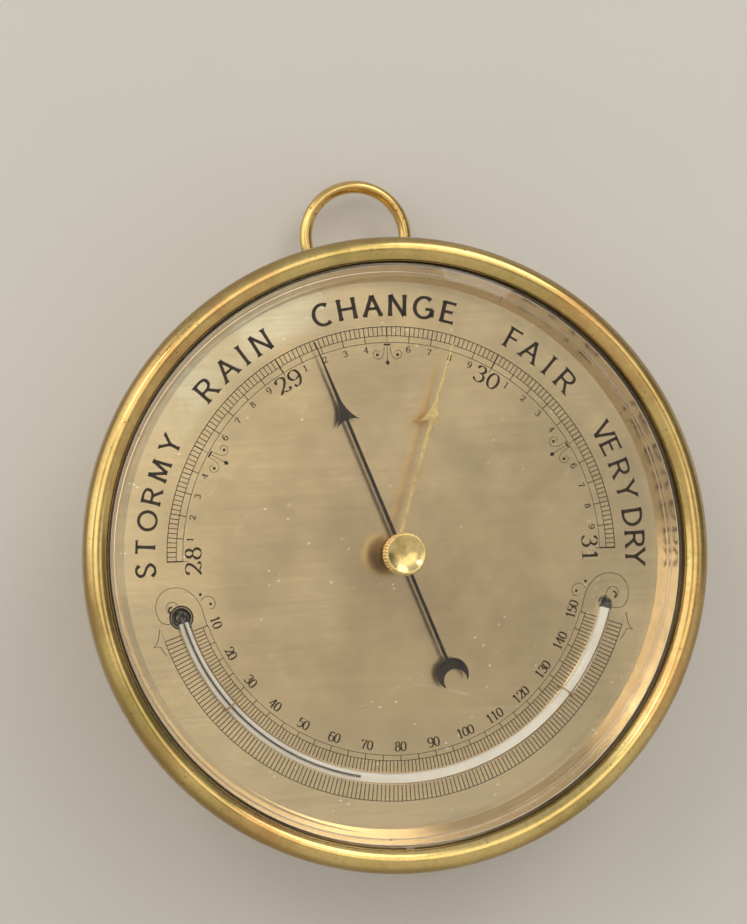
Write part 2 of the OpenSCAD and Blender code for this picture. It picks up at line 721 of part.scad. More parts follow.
// A leaf bent into a C: its section lies in x and z, and its plan tapers to the middle of the capsule
module mainspring() color("steelblue") front() difference() {
    intersection() {
        rotate([90, 0, 0]) translate([0, 0, -spring_w / 2]) linear_extrude(spring_w) union() {
            translate([-bend_x, seat_z]) square([bend_x - beam_x + beam_w / 2, spring_t]);
            translate([-bend_x, leaf_z]) square([bend_x + leaf_end, spring_t]);
            difference() {
                translate([-bend_x, bend_z]) circle(spring_bend_r + spring_t);
                translate([-bend_x, bend_z]) circle(spring_bend_r);
                translate([-bend_x, 0]) square([2 * spring_w, 2 * leaf_top]);
            }
        }
        translate([0, 0, seat_z - past]) linear_extrude(leaf_top - seat_z + 2 * past) polygon([
            [-bend_x - spring_bend_r - spring_t - past, -spring_w / 2], [-leaf_wide, -spring_w / 2],
            [-leaf_narrow, -leaf_tip_w / 2], [leaf_end, -leaf_tip_w / 2], [leaf_end, leaf_tip_w / 2],
            [-leaf_narrow, leaf_tip_w / 2], [-leaf_wide, spring_w / 2],
            [-bend_x - spring_bend_r - spring_t - past, spring_w / 2]]);
    }
    disc(leaf_hole_r, leaf_z - past, spring_t + 2 * past);
    both_sides(spring_screw_y) translate([-beam_x, 0, 0]) {
        disc(screw_r + snug, seat_z - past, spring_t + 2 * past);
        disc(head_r + 4 * play, leaf_z - past, spring_t + 2 * past);
    }
    both_sides(lever_screw_y) translate([lever_screw_x, 0, 0])
        disc(screw_r + snug, leaf_z - past, spring_t + 2 * past);
}

module spring_screws() color("slategray") front() both_sides(spring_screw_y)
    translate([-beam_x, 0, 0]) screw(screw_r, spring_t + screw_grip, seat_z + spring_t, head_r, head_h);

module main_lever() color("lightsteelblue") front() difference() {
    translate([0, 0, leaf_top]) linear_extrude(lever_t) polygon([
        [lever_start, -leaf_tip_w / 2], [leaf_end, -leaf_tip_w / 2],
        [lever_end, link_y - lever_tip_w / 2], [lever_end, link_y + lever_tip_w / 2],
        [leaf_end, leaf_tip_w / 2], [lever_start, leaf_tip_w / 2]]);
    both_sides(lever_screw_y) translate([lever_screw_x, 0, 0])
        disc(screw_r + snug, leaf_top - past, lever_t + 2 * past);
    translate([link_x, link_y, 0]) disc(link_r + snug, leaf_top - past, lever_t + 2 * past);
}

module compensation_bar() color("goldenrod") front() translate([0, 0, lever_top]) linear_extrude(comp_t)
    polygon([for (p = [[comp_start, -comp_half], [comp_end, -comp_half], [comp_end, comp_half],
        [comp_start, comp_half]]) [p[0], link_y * (p[0] - leaf_end) / (lever_end - leaf_end) + p[1]]]);

module lever_screws() color("slategray") front() both_sides(lever_screw_y)
    translate([lever_screw_x, 0, 0]) screw(screw_r, lever_t + spring_t, lever_top, lever_head_r, head_h);

module drag_link() color("slategray") front() translate([link_x, link_y, 0]) union() {
    disc(link_r, rocker_z + link_neck, lever_top - rocker_z - link_neck);
    disc(link_r + rivet_over, lever_top, rivet_h);
    difference() {
        rod_y(link_eye_r, 0, rocker_z, -link_eye_t / 2, link_eye_t / 2);
        rod_y(crank_pin_r + eye_slack, 0, rocker_z, -link_eye_t, link_eye_t);
    }
}

// The crank faces the middle of the movement, and the chain arm stands up beside the chain
module rocking_shaft() color("slategray") front() difference() {
    union() {
        rod_y(rocker_r, rocker_x, rocker_z, rocker_y0, rocker_y1);
        block(link_x - crank_half, rocker_x, crank_y, crank_y + crank_t,
            rocker_z - crank_half, rocker_z + crank_half);
        rod_y(crank_pin_r, link_x, rocker_z, link_y - link_eye_t / 2 - 0.4, crank_y + snug);
        block(rocker_x - arm_half, rocker_x + arm_half, chain_y - arm_t / 2, chain_y + arm_t / 2,
            rocker_z, chain_z + arm_half);
    }
    rod_y(fine_r + run_clear, rocker_x, rocker_z, rocker_y0 - past, rocker_y0 + fine_deep);
    rod_y(fine_r + run_clear, rocker_x, rocker_z, rocker_y1 - fine_deep, rocker_y1 + past);
}

module rocker_posts() color("goldenrod") front()
    for (y = [rocker_y0 - end_play - post_t, rocker_y1 + end_play]) difference() {
        block(rocker_x - post_w / 2, rocker_x + post_w / 2, y, y + post_t, plate_top, rocker_z + post_over);
        rod_y(fine_r + snug, rocker_x, rocker_z, y - past, y + post_t + past);
    }

module rocker_pivots() color("slategray") front() {
    for (y = [rocker_y0 - end_play - post_t - play, rocker_y1 - fine_deep + end_play])
        rod_y(fine_r, rocker_x, rocker_z, y, y + post_t + fine_deep + play);
    for (y = [rocker_y0 - end_play - post_t - head_h, rocker_y1 + end_play + post_t])
        rod_y(rocker_head_r, rocker_x, rocker_z, y, y + head_h);
}

// Riveted links, each a plate with round ends
module chain() color("gray") front() union() {
    for (i = [0:chain_links - 1]) translate([chain_start - (i + 0.5) * chain_pitch, chain_y, chain_z])
        rotate([90, 0, 0]) translate([0, 0, -chain_t / 2]) {
            translate([chain_pitch / 4, 0, 0]) cylinder(r = chain_w / 2, h = chain_t, $fn = 24);
            translate([-chain_pitch / 2, -chain_waist / 2, 0]) cube([chain_pitch, chain_waist, chain_t]);
        }
}

module bridge_pillars() color("goldenrod") front() both_sides(pillar_y) difference() {
    disc(bar_pillar_r, plate_top, bar_z - plate_top);
    disc(screw_r + snug, bar_z - screw_deep, screw_deep + past);
}

module arbor_bar() color("goldenrod") front() difference() {
    block(-bar_w / 2, bar_w / 2, -bar_l / 2, bar_l / 2, bar_z, bar_top);
    both_sides(pillar_y) disc(screw_r + snug, bar_z - past, bar_t + 2 * past);
    disc(fine_r + run_clear, bar_z - past, bar_t + 2 * past);
}

module bar_screws() color("slategray") front() both_sides(pillar_y)
    screw(screw_r, bar_t + screw_grip, bar_top, head_r, head_h);

module cock_posts() color("goldenrod") front() both_sides(post_y) difference() {
    disc(post_r, bar_top, cock_z - bar_top);
    disc(screw_r + snug, cock_z - post_bore, post_bore + past);
}

module arbor_cock() color("goldenrod") front() difference() {
    block(-cock_w / 2, cock_w / 2, -cock_l / 2, cock_l / 2, cock_z, cock_top);
    both_sides(post_y) disc(screw_r + snug, cock_z - past, bar_t + 2 * past);
    disc(arbor_r + run_clear, cock_z - past, bar_t + 2 * past);
}

module cock_screws() color("slategray") front() both_sides(post_y)
    screw(screw_r, bar_t + post_bore - past, cock_top, head_r, cock_head_h);

module adjusting_screw() color("slategray") front() translate([-adjust_x, 0, 0]) difference() {
    union() {
        disc(adjust_head_r, adjust_foot, plate_z - play - adjust_foot);
        disc(adjust_r, adjust_foot, tail_z - play - adjust_foot);
    }
    block(-adjust_r - past, adjust_r + past, -slot_w / 2, slot_w / 2,
        adjust_foot - past, adjust_foot + 2 * slot_deep);
}

case_drum();
case_flange();
bezel();
glass();
glass_retainer();
dial_surround();
dial();
pendant_stud();
pendant_nut();
hanging_ring();
set_knob();
set_stem();
glass_bush();
spring_washer();
set_hand();
pressure_hand();
hand_collet();
hand_arbor();
hairspring();
hairspring_stud();
thermometer_tube();
mercury_thread();
tube_ties();
movement_plate();
plate_spacers();
movement_screws();
capsule_base();
capsule_lid();
capsule_pillar();
knife_edge();
spring_bridge();
bridge_lugs();
bridge_pivots();
mainspring();
spring_screws();
main_lever();
compensation_bar();
lever_screws();
drag_link();
rocking_shaft();
rocker_posts();
rocker_pivots();
chain();
bridge_pillars();
arbor_bar();
bar_screws();
cock_posts();
arbor_cock();
cock_screws();
adjusting_screw();
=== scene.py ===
"""Shapes are worked out in millimetres as seen from the front of the dial: x to the right, y up and
h the height above the wall. front() then stands them upright, in metres, in the model's own frame.
"""

import json
import math
from types import SimpleNamespace

import bpy
import numpy as np
from mathutils import Matrix, Vector


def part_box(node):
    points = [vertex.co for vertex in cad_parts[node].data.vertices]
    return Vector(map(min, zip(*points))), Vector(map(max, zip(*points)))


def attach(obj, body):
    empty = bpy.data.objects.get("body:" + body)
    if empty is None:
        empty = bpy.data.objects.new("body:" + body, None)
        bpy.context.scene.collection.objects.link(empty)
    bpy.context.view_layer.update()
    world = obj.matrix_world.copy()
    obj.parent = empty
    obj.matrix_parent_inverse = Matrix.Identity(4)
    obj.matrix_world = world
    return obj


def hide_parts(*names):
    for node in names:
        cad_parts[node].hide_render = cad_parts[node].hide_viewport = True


bl_info = {
    "name": "Marine Barometer Finish",
    "version": (1, 0, 0),
    "blender": (4, 5, 0),
    "location": "View3D > Sidebar > Barometer",
    "description": "Builds the visible surfaces and finishes of a brass marine barometer",
    "category": "Object",
}

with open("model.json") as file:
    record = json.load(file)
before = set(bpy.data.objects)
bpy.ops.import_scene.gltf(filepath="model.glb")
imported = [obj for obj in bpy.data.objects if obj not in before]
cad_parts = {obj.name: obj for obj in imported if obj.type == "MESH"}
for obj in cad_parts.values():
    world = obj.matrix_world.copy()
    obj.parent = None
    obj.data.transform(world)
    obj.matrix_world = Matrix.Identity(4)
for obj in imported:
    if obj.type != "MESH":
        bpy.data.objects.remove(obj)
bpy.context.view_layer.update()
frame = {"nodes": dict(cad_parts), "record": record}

MM = 0.001


def length(name, description, metres):
    """A setting that is a length."""
    return bpy.props.FloatProperty(name=name, description=description, default=metres,
                                   unit="LENGTH", subtype="DISTANCE", precision=5)


def turning(name, description, degrees):
    """A setting that is an angle."""
    return bpy.props.FloatProperty(name=name, description=description,
                                   default=math.radians(degrees), subtype="ANGLE")


def colour(name, description, parts):
    """A setting that is a linear colour."""
    return bpy.props.FloatVectorProperty(name=name, description=description, default=parts,
                                         subtype="COLOR", size=3, min=0.0, max=1.0)


def node_span(node):
    """A node's reach from the dial's axis along x, and its back and front heights above the wall."""
    low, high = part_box(node)
    return max(-low.x, high.x) / MM, -high.y / MM, -low.y / MM


# Degrees round the dial for an inch of pressure and for a degree of heat
INCH_TURN = 60
HEAT_TURN = 1.02

# A hand's width at its hub, as a share of its shaft's
ROOT_WIDTH = 1.12

# Millimetres, save for the lamps and their target, which are in metres
DIAL_FACE = node_span("dial")[2]
CUT_DEPTH = 0.02
TUBE_BEND = 1.3
BLADE_NECK = 0.42
BLADE_POINT = 0.10
SOFT_EDGE = 0.07
BEZEL_GAP = 0.6
STAGE_REACH = 2600
WALL_HEIGHT = -0.5
WALL_HOLE = 58.0
LAMP_TARGET = Vector((0, -0.03, 0))
LAMPS = (
    ("key", (0.75, -1.25, 1.3), 0.9, 5.0, (1.0, 0.95, 0.86)),
    ("left", (-0.75, -1.45, 0.75), 0.36, 1.6, (1.0, 0.93, 0.80)),
    ("back", (0.3, 1.3, 0.9), 0.9, 5.0, (1.0, 1.0, 1.0)),
)


class CaseSizes(bpy.types.PropertyGroup):
    """Sizes of the bezel, surround, glass and hanging ring."""

    bead_r: length("Bead radius", "Radius of the bezel's rounded bead", 0.0031)
    bead_straight: length("Bead straight", "Length between the bead's two rounds", 0.0024)
    bead_at: length("Bead circle", "Radius of the circle the bead runs on", 0.0729)
    bead_height: length("Bead height", "Height of the front round's middle", 0.051)
    bore: length("Bezel bore", "Radius of the bore that holds the glass", 0.0709)
    skirt: length("Skirt", "Thickness of the push-on skirt", 0.0016)
    skirt_foot: length("Skirt foot", "Height of the skirt's free edge", 0.0382)
    bevel: length("Glass bevel", "Width of the bevel ground on the glass", 0.0043)
    glass_back: length("Glass back", "Height of the glass's back", 0.0499)
    glass_edge: length("Glass edge", "Thickness of the glass at its rim", 0.00145)
    glass_r: length("Glass radius", "Outer radius of the glass", 0.0707)
    glass_hole: length("Glass hole", "Radius of the hole for the set stem", 0.00205)
    glass_front: length("Glass front", "Height of the glass's front", 0.0524)
    surround_foot: length("Surround foot", "Inner radius of the surround at the dial", 0.066)
    surround_lip: length("Surround lip", "Inner radius of the surround at its lip", 0.06888)
    surround_t: length("Surround thickness", "Thickness of the surround's metal", 0.0009)
    ring_r: length("Ring radius", "Radius of the hanging ring's middle line", 0.0128)
    ring_wire: length("Ring wire", "Radius of the hanging ring's wire", 0.0016)


class HandSizes(bpy.types.PropertyGroup):
    """Sizes of the two hands and of the set knob."""

    thickness: length("Thickness", "Thickness of both hands", 0.0004)
    barb_half: length("Barb", "Half the width across an arrowhead's barbs", 0.00325)
    flare: length("Flare", "Length of an arrowhead's flare", 0.0074)
    shaft_half: length("Shaft", "Half the width of a hand's shaft", 0.0004)
    pressure_at: turning("Pressure direction", "Where the pressure hand points, clockwise from the top",
                         -21.1)
    pressure_tip: length("Pressure reach", "Reach of the pressure hand's point", 0.0546)
    pressure_barb: length("Pressure barb", "Reach of the pressure hand's barbs", 0.0332)
    pressure_offset: length("Pressure offset", "Sideways set of the blade", 0.0014)
    pressure_hub: length("Pressure hub", "Radius of the pressure hand's hub", 0.0025)
    moon_at: length("Moon", "Distance from the axis to the moon", 0.0318)
    moon_r: length("Moon radius", "Outer radius of the moon", 0.0039)
    set_at: turning("Set direction", "Where the set hand points, clockwise from the top", 17.8)
    set_tip: length("Set reach", "Reach of the set hand's point", 0.0524)
    set_barb: length("Set barb", "Reach of the set hand's barbs", 0.0316)
    set_offset: length("Set offset", "Sideways set of the blade", -0.0012)
    set_hub: length("Set hub", "Radius of the set hand's hub", 0.0027)
    knob_r: length("Knob radius", "Outer radius of the set knob", 0.0051)
    knurls: bpy.props.IntProperty(
        name="Knurls", description="Number of knurls round the knob", default=38
    )
    knurl_depth: length("Knurl depth", "Depth of the knurls", 0.00028)
    dish: length("Dish", "Depth of the dish in the knob's face", 0.0011)


class ScaleSizes(bpy.types.PropertyGroup):
    """Radii of the scales engraved on the dial."""

    outer: length("Pressure outer arc", "Radius of the outer arc", 0.0551)
    hatch: length("Pressure hatch arc", "Radius of the middle arc", 0.0529)
    inner: length("Pressure inner arc", "Radius of the inner arc", 0.0513)
    words: length("Words", "Radius of the weather words' middle", 0.0603)
    heat_outer: length("Thermometer outer arc", "Radius of the outer arc", 0.0593)
    heat_hatch: length("Thermometer hatch arc", "Radius of the hatch's inner arc", 0.0496)
    heat_inner: length("Thermometer inner arc", "Radius of the thin inner arc", 0.0483)
    tube_arc: length("Tube arc", "Radius of the arc the tube follows", 0.0538)
    tube_r: length("Tube radius", "Outer radius of the tube", 0.00155)
    tube_end: turning("Tube end", "Angle from the bottom to each end of the tube", 75.6)
    bore: length("Mercury thread", "Radius of the mercury in the tube's bore", 0.00017)
    reading: turning("Mercury end", "Angle from the bottom at which the mercury ends", 11.2)
    # The dark ring round the bulb's hole is painted shade, where the hole's edge falls into shadow.
    hole_rim: length("Hole rim", "Radius of the dark rim round the bulb's hole", 0.00272)
    proud: length("Mark height", "How far the filled marks stand proud", 0.000012)


class FinishColours(bpy.types.PropertyGroup):
    """Base colours of the finishes."""

    brass: colour("Lacquered brass", "Polished brass under old lacquer", (0.83, 0.62, 0.23))
    patina: colour("Patina", "Brown and olive patina in the brass", (0.30, 0.185, 0.045))
    silver: colour("Silvering", "Silvered dial, aged to champagne", (0.84, 0.67, 0.40))
    stain: colour("Tarnish", "Tarnish patches in the silvering", (0.56, 0.40, 0.21))
    bright: colour("Bright silvering", "The cleaner silvering of the surround", (0.76, 0.65, 0.50))
    wax: colour("Black wax", "Black wax that fills the engraving", (0.026, 0.014, 0.005))
    black: colour("Blackened steel", "The pressure hand's black finish", (0.03, 0.023, 0.019))
    gilt: colour("Gilt brass", "The set hand and knob", (0.95, 0.74, 0.34))
    steel: colour("Steel", "Bright steel of springs and screws", (0.56, 0.55, 0.53))
    enamel: colour("White enamel", "White backing of the thermometer tube", (0.93, 0.88, 0.76))


class StudioSettings(bpy.types.PropertyGroup):
    """The camera, the barometer's hang, the floor and the pale background."""

    azimuth: turning("Azimuth", "Camera's direction, from the dial's axis", -11.129356)
    elevation: turning("Elevation", "Camera's height angle", -1.970790)
    roll: turning("Roll", "Turn of the camera about its line of sight", -1.221968)
    tilt: turning("Hang", "How far the barometer hangs out of upright", 0.709263)
    distance: length("Distance", "Camera's distance along its line of sight", 0.7245054)
    right: length("Right", "Camera's offset to its right", -0.0048412)
    up: length("Up", "Camera's offset upwards", 0.0223492)
    lens: bpy.props.FloatProperty(
        name="Lens", description="Focal length in millimetres on a 36 mm sensor", default=116.883
    )
    floor: length("Floor", "Height of the floor", -0.19)
    pale: colour("Background", "Pale colour of the floor and wall", (0.72, 0.71, 0.69))


def plain(settings):
    """The settings as plain numbers: lengths in millimetres, angles in degrees."""
    values = SimpleNamespace()
    for prop in settings.bl_rna.properties:
        if prop.identifier in ("rna_type", "name"):
            continue
        value = getattr(settings, prop.identifier)
        if prop.unit == "LENGTH":
            value = value / MM
        elif prop.unit == "ROTATION":
            value = math.degrees(value)
        elif getattr(prop, "is_array", False):
            value = tuple(value)
        setattr(values, prop.identifier, value)
    return values


def front(points):
    """Turns (x, y, h) in millimetres, seen from the front, into the model's frame in metres."""
    points = np.asarray(points, float)
    return np.stack([points[..., 0], -points[..., 2], points[..., 1]], axis=-1) * MM


def add_mesh(name, points, faces, sharp=35.0):
    """Makes a mesh object from front-view points and blocks of faces, each an array of indices.

    Edges that turn by more than the sharp angle, in degrees, stay crisp.
    """
    mesh = bpy.data.meshes.new(name)
    loops = [face for block in faces for face in np.asarray(block).tolist()]
    mesh.from_pydata(front(points).tolist(), [], loops)
    mesh.validate()
    mesh.polygons.foreach_set("use_smooth", np.ones(len(mesh.polygons), bool))
    mesh.set_sharp_from_angle(angle=math.radians(sharp))
    mesh.update()
    piece = bpy.data.objects.new(name, mesh)
    bpy.context.scene.collection.objects.link(piece)
    return piece


def grid_quads(rows, columns, wrap_rows=False, first=0):
    """Quads of a grid whose columns wrap round: each joins a point to its next neighbours."""
    row = np.arange(rows if wrap_rows else rows - 1)[:, None]
    column = np.arange(columns)[None, :]
    next_row = (row + 1) % rows
    next_column = (column + 1) % columns
    corners = [row * columns + column, row * columns + next_column,
               next_row * columns + next_column, next_row * columns + column]
    return first + np.stack(np.broadcast_arrays(*corners), -1).reshape(-1, 4)


def fan(ring, hub, outward):
    """Triangles that join a ring of indices to one hub index."""
    following = np.roll(ring, -1)
    hubs = np.full(len(ring), hub)
    order = [following, ring, hubs] if outward else [ring, following, hubs]
    return np.stack(order, -1)


def anticlockwise(outline):
    """A closed outline in the order that keeps its inside on the left, by the sign of its area."""
    outline = np.asarray(outline, float)
    following = np.roll(outline, -1, axis=0)
    area = np.sum(outline[:, 0] * following[:, 1] - following[:, 0] * outline[:, 1])
    return outline if area > 0 else outline[::-1]


def arc(centre, radius, start, end, steps):
    """Points at equal angles round a circle, from a start angle to an end angle in degrees."""
    angle = np.radians(np.linspace(start, end, steps))
    return np.stack([centre[0] + radius * np.cos(angle), centre[1] + radius * np.sin(angle)], -1)


def rounded(corners, steps=5):
    """A closed outline of (x, y, rounding) corners, each replaced by an arc of its rounding.

    The arc touches both edges at rounding / tan(half the corner's angle) from the corner.
    """
    corners = np.asarray(corners, float)
    parts = []
    for before, (x, y, size), after in zip(np.roll(corners, 1, 0), corners, np.roll(corners, -1, 0)):
        corner = np.array([x, y])
        back = before[:2] - corner
        ahead = after[:2] - corner
        back /= np.linalg.norm(back)
        ahead /= np.linalg.norm(ahead)
        half = math.acos(float(np.clip(back @ ahead, -1, 1))) / 2
        if size <= 0 or half > 1.55:
            parts.append(corner[None])
            continue
        middle = corner + (back + ahead) / np.linalg.norm(back + ahead) * size / math.sin(half)
        start = corner + back * size / math.tan(half) - middle
        end = corner + ahead * size / math.tan(half) - middle
        sweep = math.pi - 2 * half
        part = np.linspace(0, 1, steps)[:, None] * sweep
        parts.append(middle + (start * np.sin(sweep - part) + end * np.sin(part)) / math.sin(sweep))
    return np.concatenate(parts)


def supported(outline, margin=0.12, closed=True):
    """The outline with a point near each end of its long edges, so that flat faces shade flat.

    Each added point is end + margin * (other end - end) / edge length.
    """
    ends = np.roll(outline, -1, axis=0)
    parts = []
    for index, (a, b) in enumerate(zip(outline, ends)):
        parts.append(a[None])
        length = np.linalg.norm(b - a)
        if length > 4 * margin and (closed or index < len(outline) - 1):
            step = (b - a) * margin / length
            parts.append(np.stack([a + step, b - step]))
    return np.concatenate(parts)


def turned_points(profile, segments, wave=None):
    """Rings of points: each profile point (r, h) goes to (r cos a, r sin a, h).

    wave, where given, takes r and a as arrays and returns the change in r.
    """
    angle = np.linspace(0, 2 * np.pi, segments, endpoint=False)[None, :]
    radius = np.broadcast_to(profile[:, :1], (len(profile), segments))
    height = np.broadcast_to(profile[:, 1:], (len(profile), segments))
    if wave is not None:
        radius = radius + wave(radius, angle)
    return np.stack([radius * np.cos(angle), radius * np.sin(angle), height], -1).reshape(-1, 3)


def turned_ring(name, profile, segments, sharp=35.0):
    """A ring turned on the dial's axis from a closed profile of (r, h) points."""
    profile = supported(anticlockwise(profile))
    quads = grid_quads(len(profile), segments, wrap_rows=True)
    return add_mesh(name, turned_points(profile, segments), [quads], sharp)


def turned_solid(name, profile, segments, wave, sharp):
    """A solid turned on the dial's axis from a profile that runs from the axis at its front,
    down its outside, to the axis at its back."""
    profile = supported(np.asarray(profile, float), closed=False)
    inner = profile[1:-1]
    points = turned_points(inner, segments, wave)
    poles = np.array([[0, 0, profile[0, 1]], [0, 0, profile[-1, 1]]])
    quads = grid_quads(len(inner), segments)[:, ::-1]
    first = np.arange(segments)
    top = fan(first, len(points), False)
    bottom = fan(first + len(points) - segments, len(points) + 1, True)
    return add_mesh(name, np.concatenate([points, poles]), [quads, top, bottom], sharp)


def swept(name, path, side, radii, sides, closed=False):
    """A round bar along a path. Each ring of points lies square to the path:

    point = path + radius * (side cos a + (tangent x side) sin a). An open bar ends in a fan.
    """
    path = np.asarray(path, float)
    ahead = np.roll(path, -1, axis=0) - np.roll(path, 1, axis=0)
    if not closed:
        ahead[0] = path[1] - path[0]
        ahead[-1] = path[-1] - path[-2]
    ahead /= np.linalg.norm(ahead, axis=1)[:, None]
    side = np.broadcast_to(np.asarray(side, float), path.shape)
    side = side - ahead * np.sum(side * ahead, axis=1)[:, None]
    side /= np.linalg.norm(side, axis=1)[:, None]
    across = np.cross(ahead, side)
    angle = np.linspace(0, 2 * np.pi, sides, endpoint=False)[None, :, None]
    radii = np.broadcast_to(np.asarray(radii, float), (len(path),)).reshape(-1, 1, 1)
    rings = path[:, None] + radii * (side[:, None] * np.cos(angle) + across[:, None] * np.sin(angle))
    points = rings.reshape(-1, 3)
    faces = [grid_quads(len(path), sides, wrap_rows=closed)]
    if not closed:
        points = np.concatenate([points, path[:1], path[-1:]])
        first = np.arange(sides)
        faces.append(fan(first, len(path) * sides, True))
        faces.append(fan(first + (len(path) - 1) * sides, len(path) * sides + 1, False))
    return add_mesh(name, points, faces)


def plate(name, outline, low, high):
    """A flat plate: its outline of (x, y) points at a low and a high height, joined by walls."""
    outline = anticlockwise(outline)
    count = len(outline)
    points = np.concatenate([np.c_[outline, np.full(count, low)], np.c_[outline, np.full(count, high)]])
    ring = np.arange(count)
    following = np.roll(ring, -1)
    walls = np.stack([ring, following, following + count, ring + count], -1)
    return add_mesh(name, points, [[ring[::-1]], [ring + count], walls])


def place(piece, body, slot, node=None, finish=None):
    """Attaches a piece to its body, gives it the finish of its slot, or another named finish, and hides the
    node it stands for."""
    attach(piece, body)
    piece.data.materials.append(bpy.data.materials[finish or slot])
    if node:
        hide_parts(node)


def clock_point(radius, angle):
    """The (x, y) of a point at a radius and an angle in degrees, clockwise from the top."""
    angle = np.radians(angle)
    return np.stack(np.broadcast_arrays(radius * np.sin(angle), radius * np.cos(angle)), -1)


# Marks: each stroke is a flat ribbon of black wax that fills its cut and stands barely proud


class Marks:
    """Engraved strokes, gathered into one mesh of thin closed ribbons."""

    def __init__(self, low, high):
        self.low = low
        self.high = high
        self.points = []
        self.faces = []
        self.count = 0

    def stroke(self, path, width):
        """A ribbon along a path of (x, y) points, square to the path at each one.

        Its edges lie at path + normal * width / 2 and path - normal * width / 2.
        """
        path = np.asarray(path, float)
        ahead = np.gradient(path, axis=0)
        ahead /= np.maximum(np.linalg.norm(ahead, axis=1)[:, None], 1e-9)
        half = np.broadcast_to(np.asarray(width, float) / 2, (len(path),))[:, None]
        normal = np.stack([-ahead[:, 1], ahead[:, 0]], -1) * half
        left = path + normal
        right = path - normal
        low = np.full((len(path), 1), self.low)
        high = np.full((len(path), 1), self.high)
        ring = np.stack([np.hstack([left, low]), np.hstack([right, low]),
                         np.hstack([right, high]), np.hstack([left, high])], 1)
        first = self.count
        last = first + 4 * (len(path) - 1)
        self.points.append(ring.reshape(-1, 3))
        self.faces.append(grid_quads(len(path), 4, first=first)[:, ::-1])
        self.faces.append([[first, first + 1, first + 2, first + 3]])
        self.faces.append([[last + 3, last + 2, last + 1, last]])
        self.count += 4 * len(path)

    def dot(self, centre, radius):
        """A round dot: a short ribbon whose width at x is twice the root of r squared less x squared."""
        along = -radius * np.cos(np.linspace(0.12, np.pi - 0.12, 9))
        path = np.stack([centre[0] + along, np.full(9, centre[1])], -1)
        self.stroke(path, 2 * np.sqrt(np.maximum(radius * radius - along * along, 0)))

    def arc(self, radius, start, end, width):
        """A line along a circle, between two angles clockwise from the top."""
        steps = max(2, int(abs(end - start) / 1.0) + 1)
        self.stroke(clock_point(radius, np.linspace(start, end, steps)), width)

    def tick(self, angle, inner, outer, width):
        """A straight radial line."""
        self.stroke(clock_point(np.array([inner, outer]), angle), width)

    def piece(self, name):
        """The gathered ribbons as one mesh object."""
        return add_mesh(name, np.concatenate(self.points), self.faces)

    def engrave(self, name):
        """The ribbons as one engraved piece of the dial, filled with black wax."""
        place(self.piece(name), "case", "black_steel", finish="black_wax")


def curve(*knots, steps=7):
    """A smooth line through its knots: a cubic between each two, with slopes from their neighbours."""
    knots = np.asarray(knots, float)
    extended = np.concatenate([2 * knots[:1] - knots[1:2], knots, 2 * knots[-1:] - knots[-2:-1]])
    a, b, c, d = (extended[i:len(knots) - 1 + i, None] for i in range(4))
    t = (np.arange(steps) / steps)[None, :, None]
    line = 0.5 * (2 * b + (c - a) * t + (2 * a - 5 * b + 4 * c - d) * t ** 2
                  + (3 * b - a - 3 * c + d) * t ** 3)
    return np.concatenate([line.reshape(-1, 2), knots[-1:]])


def oval(x, y, wide, tall, start=90.0, end=450.0, steps=29):
    """Points round an ellipse, from a start angle to an end angle in degrees."""
    angle = np.radians(np.linspace(start, end, steps))
    return np.stack([x + wide * np.cos(angle), y + tall * np.sin(angle)], -1)


def line(*points):
    """A straight stroke."""
    return np.asarray(points, float)


def figure_strokes():
    """Strokes of the numerals, one unit tall and centred."""
    six = curve((.20, .36), (.10, .49), (-.08, .45), (-.22, .20), (-.26, -.12), (-.18, -.40),
                (.0, -.5), (.2, -.40), (.26, -.18), (.16, .03), (-.02, .09), (-.2, -.02))
    return {
        "0": [oval(0, 0, .26, .48)],
        "1": [line((0, -.48), (0, .5)), line((-.17, .3), (0, .5)), line((-.17, -.48), (.17, -.48))],
        "2": [curve((-.22, .24), (-.2, .42), (0, .5), (.2, .40), (.22, .2), (.06, -.1), (-.27, -.46)),
              curve((-.27, -.46), (-.05, -.38), (.12, -.46), (.28, -.42), (.3, -.26))],
        "3": [curve((-.22, .30), (-.12, .47), (.08, .49), (.2, .30), (.1, .09), (-.06, .04)),
              curve((-.06, .04), (.16, .0), (.26, -.2), (.16, -.44), (-.06, -.5), (-.25, -.34))],
        "4": [line((.1, .5), (-.3, -.2), (.32, -.2)), line((.1, .5), (.1, -.48)),
              line((-.03, -.48), (.23, -.48))],
        "5": [line((.22, .47), (-.16, .47)), line((-.16, .5), (-.2, .05)),
              curve((-.2, .05), (-.02, .14), (.18, .06), (.26, -.16), (.14, -.42), (-.08, -.5),
                    (-.25, -.36))],
        "6": [six],
        "7": [line((-.26, .47), (.26, .47)), line((-.26, .48), (-.26, .3)),
              curve((.26, .47), (.06, .1), (-.04, -.2), (-.06, -.5))],
        "8": [oval(0, .26, .18, .23), oval(0, -.23, .24, .26)],
        "9": [-six],
    }


